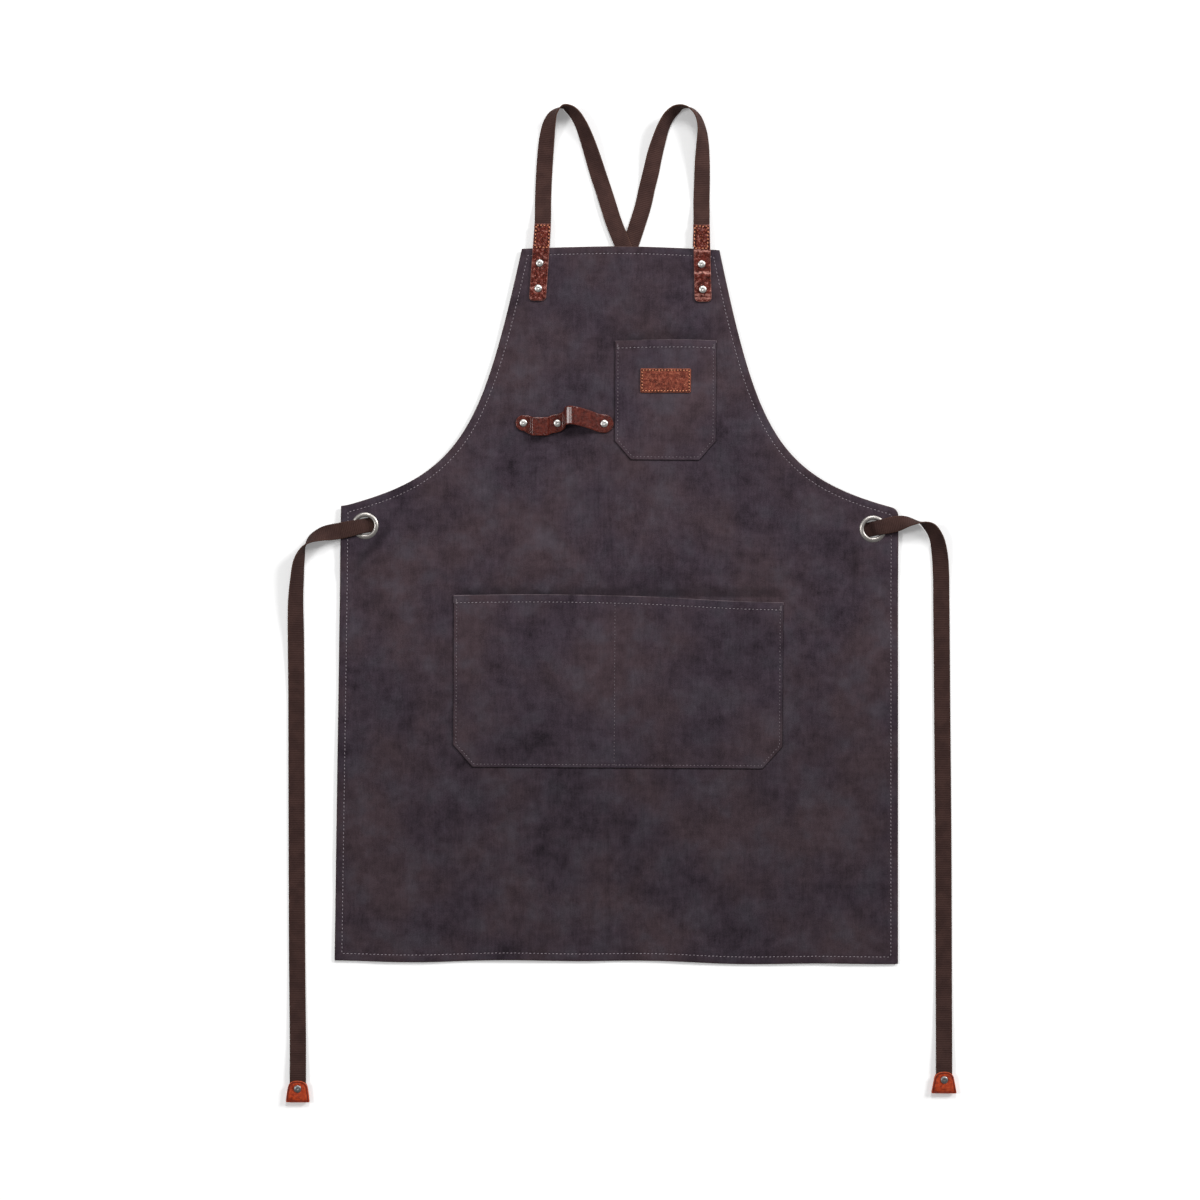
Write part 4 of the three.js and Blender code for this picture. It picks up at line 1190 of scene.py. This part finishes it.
# Stops along each length: x, y, height of the lowest edge and roll in degrees, and the
# width where the webbing is squeezed narrower.
LEFT_STOPS = [
    (-0.0954, 0.4195, SEWN, 0), (-0.0943, 0.4492, SEWN, 0), (-0.0942, 0.4760, 0, 0),
    (-0.0935, 0.4993, 0, 0), (-0.0922, 0.5235, 0, -5), (-0.0902, 0.5477, 0, -17),
    (-0.0870, 0.5671, 0, -37), (-0.0813, 0.5798, 0, -62), (-0.0714, 0.5869, 0, -90),
    (-0.0630, 0.5840, 0, -114), (-0.0565, 0.5782, 0, -125), (-0.0496, 0.5675, 0, -132),
    (-0.0428, 0.5516, 0, -144), (-0.0354, 0.5305, 0, -156), (-0.0286, 0.5094, 0, -169),
    (-0.0218, 0.4895, 0.0006, -180), (-0.0157, 0.4707, 0.0019, -180),
    (-0.0087, 0.4492, 0.0019, -180), (0.0076, 0.4093, 0.0019, -180),
    (0.0250, 0.3660, 0.0019, -180), (0.0520, 0.3120, 0, -180), (0.0900, 0.2550, 0, -180),
    (0.1400, 0.1980, 0, -180), (0.1960, 0.1460, 0, -180), (0.2460, 0.1050, 0, -180),
    (0.2770, 0.0840, 0, -180), (0.2910, 0.0780, 0, -180, 0.0194),
    (0.2992, 0.0781, 0.0001, -180, 0.0182), (0.3040, 0.0789, 0.0008, -180, 0.0180),
    (0.3070, 0.0796, 0.0043, -180, 0.0180), (0.3100, 0.0803, 0.0076, -180, 0.0180),
    (0.3148, 0.0812, ON_RING, -180, 0.0184), (0.3240, 0.0832, 0.0083, -180, 0.0194),
    (0.3370, 0.0862, 0.0060, -200), (0.3509, 0.0884, 0.0036, -238),
    (0.3642, 0.0877, 0.0010, -270), (0.3755, 0.0820, 0, -305), (0.3836, 0.0695, 0, -322),
    (0.3881, 0.0500, 0, -340), (0.3902, 0.0243, 0, -354), (0.3908, -0.0059, 0, -360),
    (0.3929, -0.1511, 0, -360), (0.3950, -0.2963, 0, -360), (0.3964, -0.4415, 0, -360),
    (0.3971, -0.5300, 0.0015, -360), (0.3972, -0.5700, 0.0034, -360),
    (0.3972, -0.5972, 0.0034, -360),
]
RIGHT_STOPS = [
    (0.0969, 0.4195, SEWN, 0), (0.0976, 0.4492, SEWN, 0), (0.0975, 0.4763, 0, 4),
    (0.0979, 0.5005, 0, 12), (0.0981, 0.5247, 0, 24), (0.0982, 0.5460, 0, 42),
    (0.0968, 0.5634, 0, 60), (0.0920, 0.5774, 0, 70), (0.0835, 0.5859, 0, 78),
    (0.0744, 0.5877, 0, 92), (0.0659, 0.5844, 0, 116), (0.0575, 0.5765, 0, 128),
    (0.0509, 0.5643, 0, 135), (0.0456, 0.5486, 0, 147), (0.0408, 0.5316, 0, 160),
    (0.0361, 0.5098, 0, 172), (0.0314, 0.4904, 0, 180), (0.0273, 0.4710, 0, 180),
    (0.0209, 0.4492, 0, 180), (0.0076, 0.4093, 0, 180), (-0.0090, 0.3640, 0, 180),
    (-0.0340, 0.3120, 0, 180), (-0.0720, 0.2580, 0, 180), (-0.1220, 0.2030, 0, 180),
    (-0.1800, 0.1520, 0, 180), (-0.2360, 0.1120, 0, 180), (-0.2760, 0.0890, 0, 180),
    (-0.2908, 0.0832, 0, 180, 0.0194), (-0.2993, 0.0812, 0.0001, 180, 0.0182),
    (-0.3040, 0.0803, 0.0008, 180, 0.0180), (-0.3070, 0.0796, 0.0043, 180, 0.0180),
    (-0.3100, 0.0789, 0.0076, 180, 0.0180), (-0.3147, 0.0779, ON_RING, 180, 0.0184),
    (-0.3240, 0.0759, 0.0083, 180, 0.0194), (-0.3375, 0.0731, 0.0068, 180),
    (-0.3480, 0.0713, 0.0060, 190), (-0.3581, 0.0693, 0.0040, 212),
    (-0.3707, 0.0638, 0.0010, 240), (-0.3798, 0.0547, 0, 270), (-0.3860, 0.0380, 0, 303),
    (-0.3888, 0.0135, 0, 320), (-0.3903, -0.0120, 0, 332), (-0.3900, -0.0600, 0, 350),
    (-0.3892, -0.1317, 0, 360), (-0.3882, -0.2527, 0, 360), (-0.3864, -0.4463, 0, 360),
    (-0.3847, -0.5450, 0.0015, 360), (-0.3843, -0.5860, 0.0034, 360),
    (-0.3843, -0.6128, 0.0034, 360),
]
# The stop that lies in the bore of each length's grommet.
LEFT_GROMMET_STOP = 29
RIGHT_GROMMET_STOP = 30


def plan(points, s):
    """A centripetal Catmull-Rom curve through the stops."""
    points = np.vstack([2 * points[0] - points[1], points, 2 * points[-1] - points[-2]])
    i = np.minimum(s.astype(int), len(points) - 4)
    t = (s - i)[:, None]
    a, b, c, d = (points[i + k] for k in range(4))
    gap_a, gap_b, gap_c = (np.sqrt(np.linalg.norm(q - p, axis=1))[:, None]
                           for p, q in ((a, b), (b, c), (c, d)))
    out = ((b - a) / gap_a - (c - a) / (gap_a + gap_b) + (c - b) / gap_b) * gap_b
    into = ((c - b) / gap_b - (d - b) / (gap_b + gap_c) + (d - c) / gap_c) * gap_b
    square = 3 * c - 3 * b - 2 * out - into
    cube = 2 * b - 2 * c + out + into
    return b + out * t + square * t ** 2 + cube * t ** 3


def route(stops, first, last, step):
    """The webbing's line from one stop to another: centres, rolls, widths and lengths."""
    stops = np.array([(*stop, WEB_WIDTH)[:5] for stop in stops], float)

    def at(s):
        i = np.minimum(s.astype(int), len(stops) - 2)
        t = (s - i)[:, None]
        a, b, c, d = (stops[np.clip(i + k, 0, len(stops) - 1), 2:] for k in (-1, 0, 1, 2))
        curved = b + (c - a) / 2 * t + (a - 2.5 * b + 2 * c - d / 2) * t ** 2
        curved += (1.5 * (b - c) + (d - a) / 2) * t ** 3
        lift, roll, width = curved.T
        lift = np.clip(lift, np.minimum(b, c)[:, 0], np.maximum(b, c)[:, 0])
        roll = np.radians(roll)
        centre = plan(stops[:, :2], s)
        z = lift + np.abs(np.sin(roll)) * width / 2 + np.abs(np.cos(roll)) * WEB_THICK / 2
        return np.column_stack([centre, z]), roll, width

    fine = np.linspace(first, last, 4000)
    line = at(fine)[0]
    reach = np.concatenate([[0], np.cumsum(np.linalg.norm(np.diff(line, axis=0), axis=1))])
    count = int(reach[-1] / step)
    lengths = np.linspace(0, reach[-1], count + 1)
    centres, rolls, widths = at(np.interp(lengths, reach, fine))
    return centres, rolls, widths, lengths


def webbing_finish(name):
    """Brown cotton webbing with close ribs across it and a firm edge, with a painted highlight
    along its edges and painted light that grows towards the bib.
    """
    finish = Finish(name, Specular_IOR_Level=0.10)
    along, across = finish.parts("Run")
    ribs = (along * (math.tau / RIB)).sine()
    warp = (across * (math.tau / 0.0018)).sine() * (along * (math.tau / (2 * RIB))).sine()
    fuzz = finish.noise(finish.place(), 1100.0, 3.0, 0.7)
    shade = finish.noise(finish.place(), 60.0, 3.0)
    yarn = finish.noise(finish.place(), 420.0, 3.0, 0.6)
    rim = across.size().between(0.0084, 0.0102)
    hue = finish.mixed(shade.between(0.35, 0.65), paint(58, 40, 37), paint(66, 46, 42))
    # A painted highlight along the webbing's edges.
    hue = finish.mixed(rim * 0.45, hue, paint(96, 68, 54))
    light = 0.72 + ribs * 0.08 + warp * 0.06 + fuzz * 0.30 + (yarn - 0.5) * 0.35 + shade * 0.14
    # Painted light: the webbing gets lighter towards the bib, standing in for light that falls off
    # down the apron.
    towards_bib = finish.split(finish.place())[1]
    light = light * (0.96 + towards_bib.between(0.05, 0.45) * 0.28)
    finish.coloured(finish.lit(hue, light))
    finish.rough(0.70 + fuzz * 0.2)
    finish.raised(ribs * 0.5 + warp * 0.35 + fuzz * 0.5 + yarn * 0.4, 0.00035, 0.8)
    return finish


brown_webbing = webbing_finish("Brown_webbing")


def webbing(name, stops, first, last):
    centres, rolls, widths, lengths = route(stops, first, last, RIB / 2)
    along = np.gradient(centres, axis=0)
    along /= np.linalg.norm(along, axis=1)[:, None]
    side = np.column_stack([-along[:, 1], along[:, 0], np.zeros(len(along))])
    side /= np.linalg.norm(side, axis=1)[:, None]
    up = np.cross(along, side)
    turn = rolls[:, None]
    wide = side * np.cos(turn) + up * np.sin(turn)
    thick = up * np.cos(turn) - side * np.sin(turn)
    scallop = np.where(np.arange(len(lengths)) % 2 == 0, 0, -0.00030)
    halves = widths / 2 + scallop
    rings, _ = strap_rings(centres, wide, thick, halves, WEB_THICK, 0.0005)
    cup = 0.4 * np.sqrt(np.maximum(3 * widths * (WEB_WIDTH - widths) / 8, 0))
    offset = np.einsum("ijk,ik->ij", rings - centres[:, None], wide)
    bow = cup[:, None] * (1 - (offset / halves[:, None]) ** 2)
    rings = rings - thick[:, None] * bow[:, :, None]
    run = np.column_stack([np.repeat(lengths, rings.shape[1]), offset.ravel()])
    piece = keep(name, rings.reshape(-1, 3), skin(rings), brown_webbing, {"Run": run})
    every = max(1, len(centres) // 240)
    path = [tuple(p) for p in centres[::every]] + [tuple(centres[-1])]
    return piece, path, lengths[-1]


def shoulder_strap(label, stops, grommet):
    """From under its tab, over the shoulder and down behind the bib to the grommet."""
    piece, path, length = webbing(label.capitalize() + "_shoulder_webbing", stops, 0, grommet)
    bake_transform(piece)
    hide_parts(label + "_strap_end", label + "_shoulder_strap", label + "_back_run")


shoulder_strap("left", LEFT_STOPS, LEFT_GROMMET_STOP)
shoulder_strap("right", RIGHT_STOPS, RIGHT_GROMMET_STOP)


# ---------- waist ties and their tips ----------
# The same webbing goes on from each grommet as a waist tie, down beside the skirt. A
# tan leather tip is folded over its end, with the fold at the foot, and riveted through.

tip_leather = leather("Tip_leather", paint(174, 60, 24), paint(96, 24, 9),
                      paint(204, 100, 50), pebble=1000.0, depth=0.00016, polish=0.10,
                      gloss=0.34, mottle=0.9, seam=(0.0017, WHOLE_WAY))
tip_nickel = nickel("Tip_nickel", paint(124, 125, 126), paint(156, 156, 155))
TIP_LENGTH = 0.0263
TIP_LEAF = 0.0018
TIP_FLOOR = 0.0013
TIP_SHOULDER = -0.0078
TIP_HALF = 0.0119
LEAF_GAP = 0.0001
LEAF_ROOM = 0.0010
FOLD_SIDES = 16
FOLD_RADIUS = 0.0018


def tip_outline(x, top, flare):
    """An arched top, with sides that swell a little and flare to the fold at the foot."""
    arch = curve([(TIP_HALF, TIP_SHOULDER), (0.0102, 0.0), (0, 0)], 14)
    flank = curve([(flare, -TIP_LENGTH + 0.0008), (0.0136, -0.0160), (TIP_HALF, TIP_SHOULDER)], 14)
    foot = np.array([(flare - 0.0008, -TIP_LENGTH)])
    half = np.vstack([foot, flank, arch])
    other = half[::-1] * [-1, 1]
    return spaced(np.vstack([half, [(0.0, 0.0)], other]) + [x, top], 0.0012)


def tip_fold(name, centre, reach):
    """The rounded fold at a tip's foot, where one leaf turns over into the other."""
    turn = np.arange(FOLD_SIDES) * math.tau / FOLD_SIDES
    rings = []
    for spot in np.linspace(-reach, reach, 21):
        radius = FOLD_RADIUS * (1 - 0.5 * eased(abs(spot), reach - 0.0015, reach))
        rings.append(np.column_stack([np.full(FOLD_SIDES, centre[0] + spot),
                                      centre[1] + radius * np.cos(turn),
                                      centre[2] + radius * np.sin(turn)]))
    rings = np.array(rings)
    far_from_edge = np.tile([0.004, 1.0], (len(rings) * FOLD_SIDES, 1))
    return keep(name, rings.reshape(-1, 3), skin(rings), tip_leather, {"Edge": far_from_edge})


def tie_tip(label, flare):
    low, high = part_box(label + "_tie_tip")
    x = middle_of(label + "_tie_tip")[0]
    rivet_y = middle_of(label + "_tip_rivet")[1]
    outline = tip_outline(x, high.y, flare)
    middle = TIP_FLOOR + TIP_LEAF + 0.0003 + WEB_THICK / 2

    def gap(px, py):
        """Half the room between the leaves: the webbing's, closing at the sides and foot."""
        beside = 1 - eased(np.abs(px - x), 0.0098, 0.0135)
        above = eased(py, low.y + 0.0015, low.y + 0.0065)
        return LEAF_GAP + LEAF_ROOM * beside * above

    def upper(px, py, edge):
        floor = middle + gap(px, py)
        dent = pressed(px, py, (x, rivet_y), 0.0003)
        dent = dent + 0.0003 * np.exp(-((py - low.y - 0.0030) / 0.0008) ** 2)
        return floor + TIP_LEAF - dent, floor

    def lower(px, py, edge):
        ceiling = middle - gap(px, py)
        return ceiling, ceiling - TIP_LEAF

    leaves = []
    for word, heights in (("front", upper), ("back", lower)):
        leaf = slab(f"{label.capitalize()}_tip_{word}", outline, heights,
                    (0.0012, 0.0022, 0.0035), spacing=0.0020, rim=0.0007,
                    finish=tip_leather)
        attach(leaf, label + "_tie")
        leaves.append(leaf)
    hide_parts(label + "_tie_tip")

    fold = tip_fold(label.capitalize() + "_tip_fold", (x, low.y + 0.0017, middle), flare - 0.0010)
    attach(fold, label + "_tie")
    leaves.append(fold)
    outer = LEAF_GAP + LEAF_ROOM + TIP_LEAF
    cap, back = rivet(label + "_tip_rivet", lambda px, py: middle + outer,
                      lambda px, py: middle - outer, label + "_tie", tip_nickel)
    return leaves + [cap, back]


def waist_tie(label, stops, grommet, side, flare):
    piece, path, length = webbing(label.capitalize() + "_tie_webbing", stops, grommet,
                                  len(stops) - 1)
    start = (side * GROMMET_X, GROMMET_Y, 0.005)
    end = (side * (GROMMET_X + 0.011), GROMMET_Y, 0.005)
    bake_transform(piece)
    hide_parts(label + "_waist_tie")
    tie_tip(label, flare)


waist_tie("right", LEFT_STOPS, LEFT_GROMMET_STOP, side=1, flare=0.0152)
waist_tie("left", RIGHT_STOPS, RIGHT_GROMMET_STOP, side=-1, flare=0.0143)
